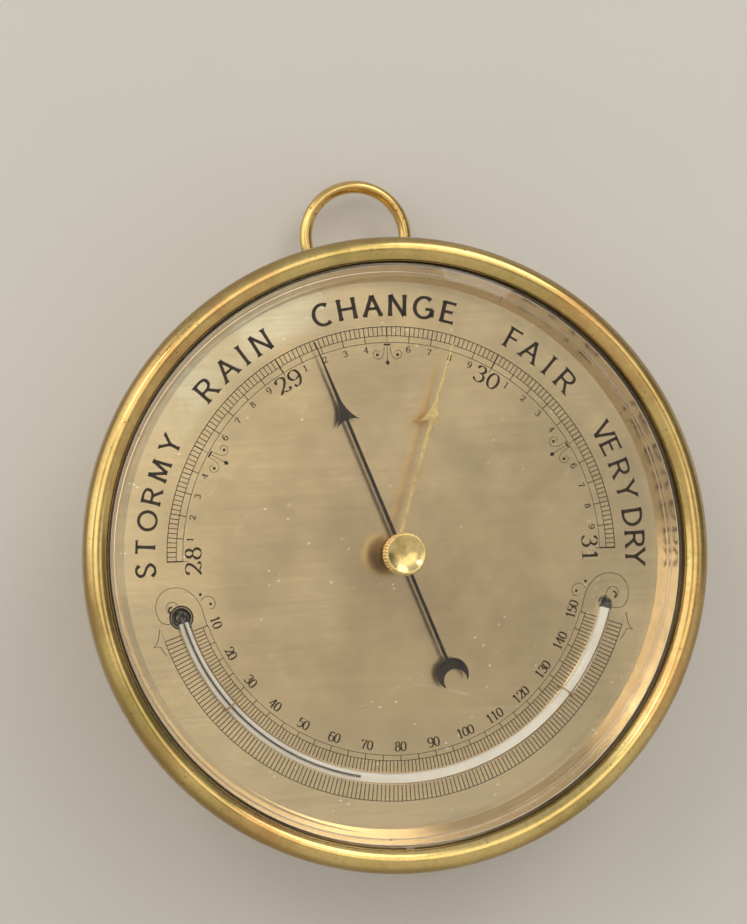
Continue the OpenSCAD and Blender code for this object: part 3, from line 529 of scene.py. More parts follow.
def letter_strokes():
    """Strokes of the capitals in the weather words, one unit tall and centred."""
    return {
        "A": [line((-.40, -.5), (0, .5)), line((0, .5), (.40, -.5)), line((-.25, -.14), (.25, -.14))],
        "C": [oval(.04, 0, .46, .5, 52, 308)],
        "D": [line((-.34, -.5), (-.34, .5)),
              curve((-.34, .465), (0, .46), (.27, .3), (.38, 0), (.27, -.3), (0, -.46), (-.34, -.465))],
        "E": [line((-.28, -.5), (-.28, .5)), line((-.28, .465), (.3, .465)),
              line((-.28, .02), (.2, .02)), line((-.28, -.465), (.32, -.465))],
        "F": [line((-.26, -.5), (-.26, .5)), line((-.26, .465), (.3, .465)), line((-.26, .02), (.2, .02))],
        "G": [oval(.02, 0, .46, .5, 50, 338), line((.1, -.06), (.46, -.06)), line((.44, -.06), (.44, -.42))],
        "H": [line((-.36, -.5), (-.36, .5)), line((.36, -.5), (.36, .5)), line((-.36, .0), (.36, .0))],
        "I": [line((0, -.5), (0, .5))],
        "M": [line((-.44, -.5), (-.38, .5)), line((-.38, .5), (0, -.42)), line((0, -.42), (.38, .5)),
              line((.38, .5), (.44, -.5))],
        "N": [line((-.35, -.5), (-.35, .5)), line((-.35, .5), (.35, -.5)), line((.35, -.5), (.35, .5))],
        "O": [oval(0, 0, .48, .48)],
        "R": [line((-.32, -.5), (-.32, .5)),
              curve((-.32, .465), (.06, .46), (.28, .36), (.28, .12), (.06, -.01), (-.32, -.015)),
              line((.02, -.01), (.36, -.5))],
        "S": [curve((.28, .32), (.12, .48), (-.12, .48), (-.28, .32), (-.2, .1), (.14, -.06),
                    (.3, -.26), (.14, -.47), (-.12, -.49), (-.32, -.32))],
        "T": [line((0, -.5), (0, .5)), line((-.36, .465), (.36, .465))],
        "V": [line((-.38, .5), (0, -.5)), line((0, -.5), (.38, .5))],
        "Y": [line((-.38, .5), (0, .0)), line((.38, .5), (0, .0)), line((0, .0), (0, -.5))],
    }


def widths_of(stroke, thin, thick):
    """A pen's width along a stroke: thin where it runs level and thick where it runs upright."""
    ahead = np.gradient(stroke, axis=0)
    upright = np.abs(ahead[:, 1]) / np.maximum(np.linalg.norm(ahead, axis=1), 1e-9)
    return thin + (thick - thin) * upright ** 1.5


def flared(stroke, thin, thick, flare):
    """A stroke with in-between points, and its pen widths, wider by the flare near its free ends.

    The widening is flare * (2 * distance along - 1) to the sixth power.
    """
    if len(stroke) == 2:
        stroke = stroke[0] + (stroke[1] - stroke[0]) * np.linspace(0, 1, 11)[:, None]
    along = np.linspace(-1, 1, len(stroke))
    return stroke, widths_of(stroke, thin, thick) * (1 + flare * along ** 6)


def serifs(strokes, reach):
    """Short level bars across the tops and feet of a letter's straight strokes, where none meet."""
    straight = [stroke for stroke in strokes if len(stroke) == 2 and stroke[0][1] != stroke[1][1]]
    ends = [tuple(point) for stroke in straight for point in stroke]
    return [line((x - reach, y), (x + reach, y)) for x, y in ends
            if abs(y) > 0.45 and ends.count((x, y)) == 1]


def on_dial(points, radius, angle):
    """Points (u, v) carried to a place on the dial, v outward from a radius and u clockwise."""
    points = np.asarray(points, float)
    out = clock_point(1.0, angle)
    right = np.array([out[1], -out[0]])
    return clock_point(radius, angle) + points[:, :1] * right + points[:, 1:] * out


def write(marks, number, radius, angle, height, thin, thick, inward=False, pitch=0.62, broad=1.0):
    """Writes a number at a place on the dial, its tops outward, or inward for the lower half."""
    strokes = figure_strokes()
    way = -1 if inward else 1
    start = -pitch * (len(str(number)) - 1) / 2
    for index, figure in enumerate(str(number)):
        for stroke in strokes[figure]:
            local = (stroke * [broad, 1] + [start + pitch * index, 0]) * height * way
            marks.stroke(on_dial(local, radius, angle), widths_of(stroke, thin, thick))


# Finishes: node groups shared by the materials, then the materials


class Nodes:
    """Short calls for building one node tree."""

    def __init__(self, tree):
        self.tree = tree

    def add(self, kind, **settings):
        node = self.tree.nodes.new(kind)
        for name, value in settings.items():
            setattr(node, name, value)
        return node

    def link(self, source, target):
        self.tree.links.new(source, target)
        return target

    def give(self, socket, value):
        """Sets an input to a number or a colour, or links another node's output to it."""
        if isinstance(value, bpy.types.NodeSocket):
            self.link(value, socket)
        elif isinstance(value, (tuple, list)) and len(socket.default_value) == 4:
            socket.default_value = (*value[:3], 1.0)
        else:
            socket.default_value = value

    def feed(self, node, **values):
        """Gives a node's inputs, named in lower case, their values."""
        sockets = {socket.name.replace(" ", "_").lower(): socket for socket in node.inputs}
        for name, value in values.items():
            self.give(sockets[name], value)
        return node

    def math(self, operation, *values, clamp=False):
        """One or two values, each a number or a socket, put through one operation."""
        node = self.add("ShaderNodeMath", operation=operation, use_clamp=clamp)
        for socket, value in zip(node.inputs, values):
            self.give(socket, value)
        return node.outputs[0]

    def times(self, a, b, clamp=False):
        """The product of two values."""
        return self.math("MULTIPLY", a, b, clamp=clamp)

    def mapped(self, vector, scale=(1, 1, 1), rotation=(0, 0, 0), location=(0, 0, 0)):
        """The vector moved, turned and stretched."""
        turn = [math.radians(angle) for angle in rotation]
        node = self.feed(self.add("ShaderNodeMapping"), vector=vector, scale=scale, rotation=turn,
                         location=location)
        return node.outputs[0]

    def laid(self, vector, turn, scale):
        """The vector turned about the dial's axis first, and then stretched."""
        return self.mapped(self.mapped(vector, rotation=(0, turn, 0)), scale)

    def noise(self, vector, scale, detail=3.0, rough=0.5, distortion=0.0):
        """Smooth noise about 0.5."""
        node = self.feed(self.add("ShaderNodeTexNoise"), vector=vector, scale=scale, detail=detail,
                         roughness=rough, distortion=distortion)
        return node.outputs["Fac"]

    def between(self, value, low, high, to_low=0.0, to_high=1.0):
        """The value's range from low to high, carried smoothly to a new range and clamped."""
        node = self.add("ShaderNodeMapRange", interpolation_type="SMOOTHSTEP")
        for socket, number in zip(node.inputs, (value, low, high, to_low, to_high)):
            self.give(socket, number)
        return node.outputs["Result"]

    def mix(self, factor, first, second):
        """Two colours mixed by a factor; each may be a socket or a colour."""
        node = self.add("ShaderNodeMix", data_type="RGBA")
        for socket, value in zip((node.inputs[0], *node.inputs[6:8]), (factor, first, second)):
            self.give(socket, value)
        return node.outputs[2]

    def over(self, tone, mask, amount, other):
        """The tone with another laid over it, by a mask times an amount."""
        return self.mix(self.times(mask, amount), tone, other)

    def reach(self, vector, scale=(1, 0, 1), location=(0, 0, 0)):
        """The length of the moved and stretched vector, which is a distance from an axis."""
        node = self.add("ShaderNodeVectorMath", operation="LENGTH")
        self.link(self.mapped(vector, scale, location=location), node.inputs[0])
        return node.outputs["Value"]

    def toward(self, way, direction):
        """How nearly a way points in a direction: their dot product."""
        node = self.add("ShaderNodeVectorMath", operation="DOT_PRODUCT")
        self.link(way, node.inputs[0])
        node.inputs[1].default_value = direction
        return node.outputs["Value"]

    def group(self, name, vector, **values):
        """Places a shared effect, with numbers or sockets for its inputs."""
        node = self.add("ShaderNodeGroup", node_tree=bpy.data.node_groups[name])
        return self.feed(node, vector=vector, **values).outputs[0]

    def clear_where(self, mask, shader):
        """Sends the shader to the surface, with clear in its place by a mask."""
        clear = self.add("ShaderNodeBsdfTransparent")
        mixed = self.add("ShaderNodeMixShader")
        for socket, source in zip(mixed.inputs, (mask, shader.outputs[0], clear.outputs[0])):
            self.link(source, socket)
        self.link(mixed.outputs[0], self.tree.nodes["Material Output"].inputs["Surface"])

    def bump(self, height, strength, distance, normal=None):
        """A normal tilted by a height map; distance is in millimetres."""
        node = self.feed(self.add("ShaderNodeBump"), strength=strength, distance=distance * MM,
                         height=height)
        if normal is not None:
            self.link(normal, node.inputs["Normal"])
        return node.outputs["Normal"]


def effect(name, inputs, output):
    """An empty node group with a Vector input, named number inputs and one number output."""
    tree = bpy.data.node_groups.new(name, "ShaderNodeTree")
    tree.interface.new_socket("Vector", in_out="INPUT", socket_type="NodeSocketVector")
    for key, value in inputs.items():
        socket = tree.interface.new_socket(key, in_out="INPUT", socket_type="NodeSocketFloat")
        socket.default_value = value
    tree.interface.new_socket(output, in_out="OUTPUT", socket_type="NodeSocketFloat")
    nodes = Nodes(tree)
    return nodes, nodes.add("NodeGroupInput").outputs, nodes.add("NodeGroupOutput").inputs[0]


def build_effects():
    """Patches, fine scratches, brushed grain and flecks, each once as a node group."""
    nodes, start, end = effect("Patches", {"Scale": 40.0, "Cover": 0.5, "Soft": 0.12}, "Mask")
    cloud = nodes.noise(start["Vector"], start["Scale"], 5.0, 0.62, 0.6)
    edge = nodes.math("SUBTRACT", 1.0, start["Cover"])
    low = nodes.math("SUBTRACT", edge, start["Soft"])
    high = nodes.math("ADD", edge, start["Soft"])
    nodes.link(nodes.between(cloud, low, high), end)

    nodes, start, end = effect("Fine scratches", {"Density": 1.0}, "Lines")
    total = 0.0
    for turn, along, across in ((4, 22, 760), (-17, 30, 640), (38, 42, 900)):
        value = nodes.noise(nodes.laid(start["Vector"], turn, (along, 300, across)), 1.0, 1.0, 0.4, 0.1)
        off = nodes.math("ABSOLUTE", nodes.math("SUBTRACT", value, 0.5))
        thin = nodes.between(off, 0.0, 0.014, 1.0, 0.0)
        broken = nodes.between(nodes.noise(start["Vector"], 70 + turn, 2.0), 0.57, 0.68)
        total = nodes.math("MAXIMUM", total, nodes.times(thin, broken))
    nodes.link(nodes.times(total, start["Density"]), end)

    nodes, start, end = effect("Brushed grain", {"Strength": 1.0}, "Height")
    fine = nodes.noise(nodes.laid(start["Vector"], 3, (24, 260, 1150)), 1.0, 1.0)
    broad = nodes.noise(nodes.laid(start["Vector"], -2, (10, 120, 420)), 1.0, 2.0)
    both = nodes.math("ADD", nodes.times(fine, 0.55), nodes.times(broad, 0.45))
    nodes.link(nodes.times(both, start["Strength"]), end)

    nodes, start, end = effect("Flecks", {"Scale": 400.0, "Size": 0.1}, "Mask")
    cells = nodes.feed(nodes.add("ShaderNodeTexVoronoi"), vector=start["Vector"], scale=start["Scale"])
    rarer = nodes.between(nodes.noise(start["Vector"], 130.0, 2.0), 0.45, 0.62)
    size = nodes.times(start["Size"], rarer)
    nodes.link(nodes.math("LESS_THAN", cells.outputs["Distance"], size), end)


def new_material(name, metallic, **constants):
    """A material, its node helper, its Principled shader and its object coordinates.

    Settings that are the same all over are set on the shader's own sockets.
    """
    material = bpy.data.materials.new(name)
    material.use_nodes = True
    nodes = Nodes(material.node_tree)
    shader = nodes.feed(material.node_tree.nodes["Principled BSDF"], metallic=metallic, **constants)
    return nodes, shader, nodes.add("ShaderNodeTexCoord").outputs["Object"]


def scaled(colour, gain):
    """A colour made lighter or darker, up to full white."""
    return tuple(min(1.0, gain * part) for part in colour)


def aged_metal(name, colour, stain, patch, cover, soft, low, high, scratch=0.4):
    """Polished metal with tarnish in patches, dark flecks, fine scratches and smears of wear."""
    nodes, shader, vector = new_material(name, 1.0)
    tarnish = nodes.group("Patches", vector, scale=patch, cover=cover, soft=soft)
    mottle = nodes.between(nodes.noise(vector, patch * 7, 4.0, 0.6), 0.3, 0.7)
    flecks = nodes.group("Flecks", vector, scale=patch * 16, size=0.16)
    lines = nodes.group("Fine scratches", vector)
    tone = nodes.over(colour, tarnish, 0.75, stain)
    tone = nodes.over(tone, mottle, 0.22, stain)
    tone = nodes.over(tone, flecks, 0.7, scaled(stain, 0.35))
    tone = nodes.over(tone, lines, 0.35, scaled(colour, 1.15))
    smear = nodes.noise(vector, patch * 2.3, 4.0, 0.55, 0.4)
    shine = nodes.math("ADD", nodes.between(smear, 0.3, 0.7, low, high), nodes.times(tarnish, 0.10))
    shine = nodes.math("ADD", shine, nodes.times(flecks, 0.2), clamp=True)
    rough = nodes.bump(nodes.noise(vector, patch * 22), 0.12, 0.02)
    nodes.feed(shader, base_color=tone, roughness=shine, normal=nodes.bump(lines, scratch, 0.012, rough))


def silvered_dial(colours):
    """Silvered brass gone champagne: level brush grain, soft tarnish, pale flecks of dust and painted glint,
    and scratches.

    The middle, right of and below the axis, is darker, the band of the weather words is cleaner, and its
    upper left carries a mottled painted highlight.
    """
    nodes, shader, vector = new_material("silvered_dial", 1.0)
    grain = nodes.group("Brushed grain", vector)
    lines = nodes.group("Fine scratches", vector)
    blotch = nodes.group("Patches", vector, scale=17.0, cover=0.5, soft=0.3)
    flecks = nodes.group("Flecks", nodes.laid(vector, 6, (0.8, 1, 1.2)), scale=420.0, size=0.12)
    tone = nodes.over(colours.silver, blotch, 0.28, colours.stain)
    wander = nodes.times(nodes.noise(vector, 30.0), 0.03)
    middle = nodes.math("ADD", nodes.reach(vector, (1, 0, 1.25), (-0.012, 0, 0.024)), wander)
    tone = nodes.mix(nodes.between(middle, 0.015, 0.075, 0.28, 0.0), tone, colours.stain)
    band = nodes.between(nodes.reach(vector), 0.0553, 0.0605, 0.0, 0.35)
    tone = nodes.mix(band, tone, tuple(np.multiply(colours.silver, (1.06, 1.10, 1.12))))
    # Painted highlight: a mottled pale pool in the words' band at the upper left, where a lamp's sheen
    # falls.
    painted_highlight = nodes.between(nodes.reach(vector, location=(0.036, 0, -0.050)), 0.012, 0.034, 1.0, 0.0)
    patchy = nodes.between(nodes.noise(vector, 90.0, 4.0, 0.6), 0.3, 0.6, 0.3, 1.0)
    tone = nodes.mix(nodes.times(nodes.times(painted_highlight, band), 2.4, clamp=True), tone,
                     nodes.mix(patchy, tone, (1.0, 0.93, 0.68)))
    streak = nodes.between(grain, 0.3, 0.7, 0.0, 0.26)
    tone = nodes.mix(streak, tone, scaled(colours.silver, 0.72))
    tone = nodes.over(tone, lines, 0.3, (1.0, 0.9, 0.68))
    # Pale flecks: dust specks, with painted glints among them.
    tone = nodes.over(tone, flecks, 0.9, (1.0, 0.93, 0.76))
    shine = nodes.between(nodes.noise(vector, 55.0, 4.0, 0.6), 0.3, 0.7, 0.17, 0.25)
    rough = nodes.bump(grain, 0.05, 0.03)
    nodes.feed(shader, base_color=tone, roughness=shine, normal=nodes.bump(lines, 0.08, 0.012, rough))


def bezel_brass(colours):
    """Lacquered brass, bright on the bead's crest and darkened on its outer side by brown patina and painted
    shade.
    """
    nodes, shader, vector = new_material("bezel_brass", 1.0, coat_weight=0.6)
    # The bead's outer side darkens to patina: partly real patina, partly painted shade where the bead turns
    # away from the light.
    sway = nodes.times(nodes.noise(vector, 45.0), 0.0012)
    flank_patina_and_shade = nodes.between(nodes.math("ADD", nodes.reach(vector), sway), 0.0744, 0.0764)
    copper = nodes.group("Patches", vector, scale=30.0, cover=0.44, soft=0.1)
    olive = nodes.group("Patches", nodes.mapped(vector, location=(0.3, 0.1, 0.7)), scale=22.0, cover=0.45,
                        soft=0.14)
    flecks = nodes.group("Flecks", vector, scale=620.0, size=0.16)
    rings = nodes.between(nodes.noise(vector, 900.0, 2.0), 0.35, 0.7, 0.0, 0.16)
    lines = nodes.group("Fine scratches", vector)
    tone = nodes.over(colours.brass, olive, 0.65, (0.34, 0.26, 0.05))
    tone = nodes.over(tone, copper, 0.65, (0.60, 0.30, 0.10))
    tone = nodes.over(tone, flank_patina_and_shade, 0.9, colours.patina)
    tone = nodes.mix(rings, tone, colours.patina)
    tone = nodes.over(tone, flecks, 0.6, (0.10, 0.06, 0.02))
    smear = nodes.between(nodes.noise(vector, 70.0, 4.0, 0.55, 0.4), 0.3, 0.7, 0.13, 0.25)
    rough = nodes.bump(nodes.noise(vector, 700.0), 0.12, 0.02)
    nodes.feed(shader, base_color=tone, roughness=nodes.math("ADD", smear, nodes.times(flank_patina_and_shade, 0.12)),
               normal=nodes.bump(lines, 0.3, 0.012, rough))


def clear_glass(name, ior, high):
    """Polished glass, clear to shadow and scattered rays, with a breath of grease in its polish."""
    nodes, shader, vector = new_material(name, 0.0, transmission_weight=1.0, ior=ior)
    smear = nodes.noise(vector, 35.0, 4.0, 0.6, 0.5)
    tint = nodes.mix(nodes.between(smear, 0.3, 0.8), (1.0, 1.0, 1.0), (0.975, 0.985, 0.98))
    nodes.feed(shader, roughness=nodes.between(smear, 0.45, 0.75, 0.0, high), base_color=tint)
    path = nodes.add("ShaderNodeLightPath").outputs
    nodes.clear_where(nodes.math("MAXIMUM", path["Is Shadow Ray"], path["Is Diffuse Ray"]), shader)


def painted(name, colour, other, scale, low, high, metallic=0.0, specular=0.5):
    """A dark or pale coating, mottled between two colours, with uneven shine and a slight bump."""
    nodes, shader, vector = new_material(name, metallic, specular_ior_level=specular)
    mottle = nodes.between(nodes.noise(vector, scale, 4.0, 0.6), 0.3, 0.7)
    nodes.feed(shader, base_color=nodes.mix(mottle, colour, other),
               roughness=nodes.between(nodes.noise(vector, scale * 0.4), 0.3, 0.7, low, high),
               normal=nodes.bump(nodes.noise(vector, scale * 3), 0.2, 0.015))


def mercury():
    """Mercury: a dark thread over the dial, and brighter in the bulb behind the dial's face."""
    nodes, shader, vector = new_material("mercury", 1.0)
    split = nodes.add("ShaderNodeSeparateXYZ")
    nodes.link(vector, split.inputs[0])
    face = -DIAL_FACE * MM
    behind = nodes.between(split.outputs["Y"], face - 0.0008, face)
    film = nodes.between(nodes.noise(vector, 300.0), 0.35, 0.65)
    tone = nodes.mix(behind, (0.14, 0.125, 0.105), (0.72, 0.66, 0.58))
    nodes.feed(shader, base_color=nodes.over(tone, film, 0.3, (0.10, 0.09, 0.08)),
               roughness=nodes.between(film, 0.0, 1.0, 0.12, 0.26))


def build_materials(colours):
    """Every finish of the barometer, by the name of its record slot."""
    dull = scaled(colours.brass, 0.75)
    for name, tone, stain, *pattern in (
        ("lacquered_brass", colours.brass, (0.42, 0.23, 0.09), 34.0, 0.46, 0.16, 0.14, 0.30, 0.35),
        ("dull_brass", dull, colours.patina, 60.0, 0.5, 0.2, 0.3, 0.48, 0.3),
        ("silvered_surround", colours.bright, (0.52, 0.40, 0.26), 40.0, 0.34, 0.14, 0.14, 0.22, 0.3),
        ("gilt_hand", colours.gilt, colours.patina, 120.0, 0.36, 0.14, 0.16, 0.3),
        ("bright_steel", colours.steel, (0.30, 0.27, 0.24), 120.0, 0.36, 0.12, 0.18, 0.34, 0.3),
        ("blued_steel", (0.10, 0.13, 0.28), (0.05, 0.05, 0.10), 150.0, 0.4, 0.15, 0.16, 0.3),
        ("nickel_silver", (0.62, 0.60, 0.54), (0.42, 0.38, 0.30), 90.0, 0.4, 0.16, 0.2, 0.34),
    ):
        aged_metal(name, tone, stain, *pattern)
    mercury()
    silvered_dial(colours)
    bezel_brass(colours)
    clear_glass("clear_glass", 1.43, 0.02)
    clear_glass("thermometer_glass", 1.47, 0.03)
    black, wax, white = colours.black, colours.wax, colours.enamel
    painted("black_steel", black, scaled(black, 2.2), 260.0, 0.26, 0.42, metallic=1.0)
    painted("black_wax", wax, scaled(wax, 1.9), 500.0, 0.5, 0.7, specular=0.06)
    painted("cast_iron", (0.06, 0.058, 0.055), (0.11, 0.10, 0.09), 400.0, 0.5, 0.7, metallic=0.6)
    painted("white_enamel", white, scaled(white, 0.88), 90.0, 0.15, 0.3)


def settings(context):
    """The sizes and colours as plain numbers."""
    scene = context.scene
    return SimpleNamespace(case=plain(scene.barometer_case), hands=plain(scene.barometer_hands),
                           scales=plain(scene.barometer_scales), studio=plain(scene.barometer_studio),
                           colours=plain(scene.barometer_colours))


class BAROMETER_OT_finishes(bpy.types.Operator):
    """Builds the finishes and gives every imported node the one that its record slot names"""

    bl_idname = "barometer.finishes"
    bl_label = "Finishes"

    def execute(self, context):
        for plain_one in list(bpy.data.materials):
            bpy.data.materials.remove(plain_one)
        build_effects()
        build_materials(settings(context).colours)
        finish = {part["node"]: part["material_slot"] for part in frame["record"]["subparts"]}
        for name, node in frame["nodes"].items():
            slot = finish[name]
            material = bpy.data.materials["thermometer_glass" if slot == "white_glass" else slot]
            node.data.materials.clear()
            node.data.materials.append(material)
        return {"FINISHED"}


class BAROMETER_OT_bezel(bpy.types.Operator):
    """Builds the rounded bezel with its lip over the glass and its push-on skirt"""

    bl_idname = "barometer.bezel"
    bl_label = "Bezel"

    def execute(self, context):
        size = settings(context).case
        at, radius = size.bead_at, size.bead_r
        top = size.bead_height
        low = top - size.bead_straight
        inner = size.bore + BEZEL_GAP
        outer = inner + size.skirt
        foot = size.skirt_foot
        lip_foot = size.glass_front + 0.05
        reach = math.sqrt(radius ** 2 - (lip_foot - top) ** 2)
        start = 180 - math.degrees(math.asin((lip_foot - top) / radius))
        slope = (size.glass_front - size.glass_back - size.glass_edge) / size.bevel
        lip_under = lip_foot - slope * (at - reach - size.glass_r + size.bevel)
        outline = np.concatenate([
            [(at - reach + 0.02, lip_under), (at - reach, size.glass_front)],
            arc((at, top), radius, start - 4, -0.5, 60),
            [(at + radius, (top + low) / 2)],
            arc((at, low), radius, 0.5, -78, 26),
            [(outer, low - radius * math.sin(math.radians(70))), (outer, foot + 0.25),
             (outer - 0.25, foot), (inner + 0.15, foot), (inner, foot + 0.15),
             (inner, DIAL_FACE + 0.1), (size.bore, DIAL_FACE + 0.1),
             (size.bore, size.glass_back + size.glass_edge)],
        ])
        piece = turned_ring("bezel_bead", outline, 384)
        place(piece, "case", "lacquered_brass", "bezel", "bezel_brass")
        return {"FINISHED"}


class BAROMETER_OT_ring(bpy.types.Operator):
    """Builds the hanging ring from round wire"""

    bl_idname = "barometer.ring"
    bl_label = "Hanging ring"

    def execute(self, context):
        size = settings(context).case
        low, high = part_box("hanging_ring")
        middle = (low + high) / 2 / MM
        angle = np.linspace(0, 2 * np.pi, 160, endpoint=False)
        out = np.stack([np.cos(angle), np.sin(angle), np.zeros(160)], -1)
        path = out * size.ring_r + [0, middle.z, -middle.y]
        wire = size.ring_wire * (1 - 0.015 * np.cos(3 * angle) ** 2)
        piece = swept("ring_wire", path, out, wire, 32, closed=True)
        place(piece, "ring", "lacquered_brass", "hanging_ring")
        return {"FINISHED"}


class BAROMETER_OT_glass(bpy.types.Operator):
    """Builds the front glass with its ground bevel and its hole for the set stem"""

    bl_idname = "barometer.glass"
    bl_label = "Glass"

    def execute(self, context):
        size = settings(context).case
        outline = rounded([
            (size.glass_hole, size.glass_back, 0.08),
            (size.glass_r, size.glass_back, 0.15),
            (size.glass_r, size.glass_back + size.glass_edge, 0.2),
            (size.glass_r - size.bevel, size.glass_front, 0.1),
            (size.glass_hole, size.glass_front, 0.08),
        ], 4)
        piece = turned_ring("front_glass", outline, 256, sharp=12.0)
        place(piece, "case", "clear_glass", "glass")
        return {"FINISHED"}


class BAROMETER_OT_surround(bpy.types.Operator):
    """Builds the silvered cone between the dial and the glass, with a turned line half way up"""

    bl_idname = "barometer.surround"
    bl_label = "Surround"

    def execute(self, context):
        size = settings(context).case
        rim, _, top = node_span("dial_surround")
        thick = size.surround_t
        step_r = 0.5 * (size.surround_foot + size.surround_lip)
        step_at = 0.5 * (DIAL_FACE + top)
        outline = rounded([
            (size.surround_foot, DIAL_FACE, 0.05),
            (rim, DIAL_FACE, 0.1),
            (rim, DIAL_FACE + thick, 0.1),
            (size.surround_foot + 2 * thick, DIAL_FACE + thick, 0),
            (size.surround_lip + 0.4 * thick, top, 0.12),
            (size.surround_lip, top, 0.12),
            (step_r + 0.26, step_at + 0.12, 0.03),
            (step_r + 0.14, step_at - 0.18, 0.03),
            (step_r - 0.10, step_at - 0.10, 0.03),
        ], 4)
        piece = turned_ring("surround_cone", outline, 320)
        place(piece, "case", "silvered_surround", "dial_surround")
        return {"FINISHED"}


def blade(tip, barb, offset, hub, size):
    """A blade's two sides: the right one from its point down its taper, flare and notch to the
    hub, and the left one back up, mirrored about the blade's line with its foot on the hub."""
    fall = np.linspace(0, 1, 14)
    flare = np.c_[BLADE_NECK + (size.barb_half - BLADE_NECK) * fall ** 2.2,
                  barb + size.flare * (1 - fall)]
    root = ROOT_WIDTH * size.shaft_half
    right = np.concatenate([[(BLADE_POINT, tip)], flare, [
        (2.3, barb + 0.75), (1.2, barb + 1.15), (size.shaft_half, barb + 1.3),
        (root, math.sqrt(hub ** 2 - (offset + root) ** 2))]])
    left = right[::-1] * [-1, 1]
    left[0, 1] = math.sqrt(hub ** 2 - (offset - root) ** 2)
    return right + [offset, 0], left + [offset, 0]


def hub_angle(across, radius):
    """The angle in degrees of the point on a circle that lies so far across from its middle."""
    return math.degrees(math.acos(across / radius))


def place_hand(name, outline, angle, size, body, slot, node):
    """A hand as a soft-edged plate, turned clockwise from upright by an angle in degrees."""
    turn = math.radians(angle)
    across = outline[:, 0] * math.cos(turn) + outline[:, 1] * math.sin(turn)
    along = outline[:, 1] * math.cos(turn) - outline[:, 0] * math.sin(turn)
    back = node_span(node)[1]
    piece = plate(name, np.stack([across, along], -1), back, back + size.thickness)
    bevel = piece.modifiers.new("soft edges", "BEVEL")
    bevel.width = SOFT_EDGE * MM
    bevel.segments = 2
    bevel.limit_method = "ANGLE"
    bevel.harden_normals = True
    place(piece, body, slot, node)


class BAROMETER_OT_pressure_hand(bpy.types.Operator):
    """Builds the blackened pressure hand with its arrowhead and crescent moon"""

    bl_idname = "barometer.pressure_hand"
    bl_label = "Pressure hand"

    def execute(self, context):
        size = settings(context).hands
        offset, hub, half = size.pressure_offset, size.pressure_hub, size.shaft_half
        root = ROOT_WIDTH * half
        moon, big = size.moon_at, size.moon_r
        cut = 0.74 * big
        shift = 0.46 * big
        down = (big ** 2 - cut ** 2 + shift ** 2) / (2 * shift)
        across = math.sqrt(big ** 2 - down ** 2)
        horn = math.degrees(math.atan2(-down, across))
        inner = math.degrees(math.atan2(shift - down, across))
        top = hub_angle(half, big)
        right, left = blade(size.pressure_tip, size.pressure_barb, offset, hub, size)
        outline = np.concatenate([
            right,
            arc((0, 0), hub, hub_angle(offset + root, hub), -hub_angle(offset + half, hub), 18),
            arc((offset, -moon), big, top, horn, 22),
            arc((offset, -moon - shift), cut, inner, 180 - inner, 26),
            arc((offset, -moon), big, -180 - horn, -180 - top, 22),
            arc((0, 0), hub, -hub_angle(offset - half, hub), hub_angle(offset - root, hub) - 360, 30),
            left,
        ])
        place_hand("pressure_blade", outline, size.pressure_at, size, "pressure_group", "black_steel",
                   "pressure_hand")
        return {"FINISHED"}


class BAROMETER_OT_set_hand(bpy.types.Operator):
    """Builds the gilt set hand with its arrowhead"""

    bl_idname = "barometer.set_hand"
    bl_label = "Set hand"

    def execute(self, context):
        size = settings(context).hands
        offset, hub = size.set_offset, size.set_hub
        root = ROOT_WIDTH * size.shaft_half
        right, left = blade(size.set_tip, size.set_barb, offset, hub, size)
        round_hub = arc((0, 0), hub, hub_angle(offset + root, hub), hub_angle(offset - root, hub) - 360, 44)
        place_hand("set_blade", np.concatenate([right, round_hub, left]), size.set_at, size, "set_group",
                   "gilt_hand", "set_hand")
        return {"FINISHED"}


class BAROMETER_OT_knob(bpy.types.Operator):
    """Builds the dished and knurled set knob"""

    bl_idname = "barometer.knob"
    bl_label = "Set knob"

    def execute(self, context):
        size = settings(context).hands
        back, top = node_span("set_knob")[1:]
        rim = size.knob_r
        rim_in = rim - size.knurl_depth - 0.45
        foot = top - 4.2
        ball = (rim_in ** 2 + size.dish ** 2) / (2 * size.dish)
        open_angle = math.degrees(math.asin(rim_in / ball))
        dish = arc((0, top - size.dish + ball), ball, -90, -90 + open_angle, 22)
        outside = [(rim_in + 0.12, top), (rim - 0.32, top), (rim - 0.2, top - 0.06),
                   (rim - 0.1, top - 0.2), (rim, top - 0.5), (rim, top - 1.2), (rim, foot + 1.2),
                   (rim, foot + 0.5), (rim - 0.12, foot + 0.2), (rim - 0.4, foot),
                   (2.3, foot), (2.3, back), (0, back)]
        profile = np.concatenate([dish, outside])

        def knurl(radius, angle):
            """Straight knurls: the radius falls by the depth times a rounded wave of the angle."""
            weight = np.clip((radius - rim + 0.3) / 0.2, 0, 1)
            wave = 0.5 - 0.5 * np.cos(size.knurls * angle)
            return -size.knurl_depth * weight * wave ** 1.6

        piece = turned_solid("knob_dish", profile, size.knurls * 10, knurl, 48.0)
        place(piece, "set_group", "gilt_hand", "set_knob")
        return {"FINISHED"}


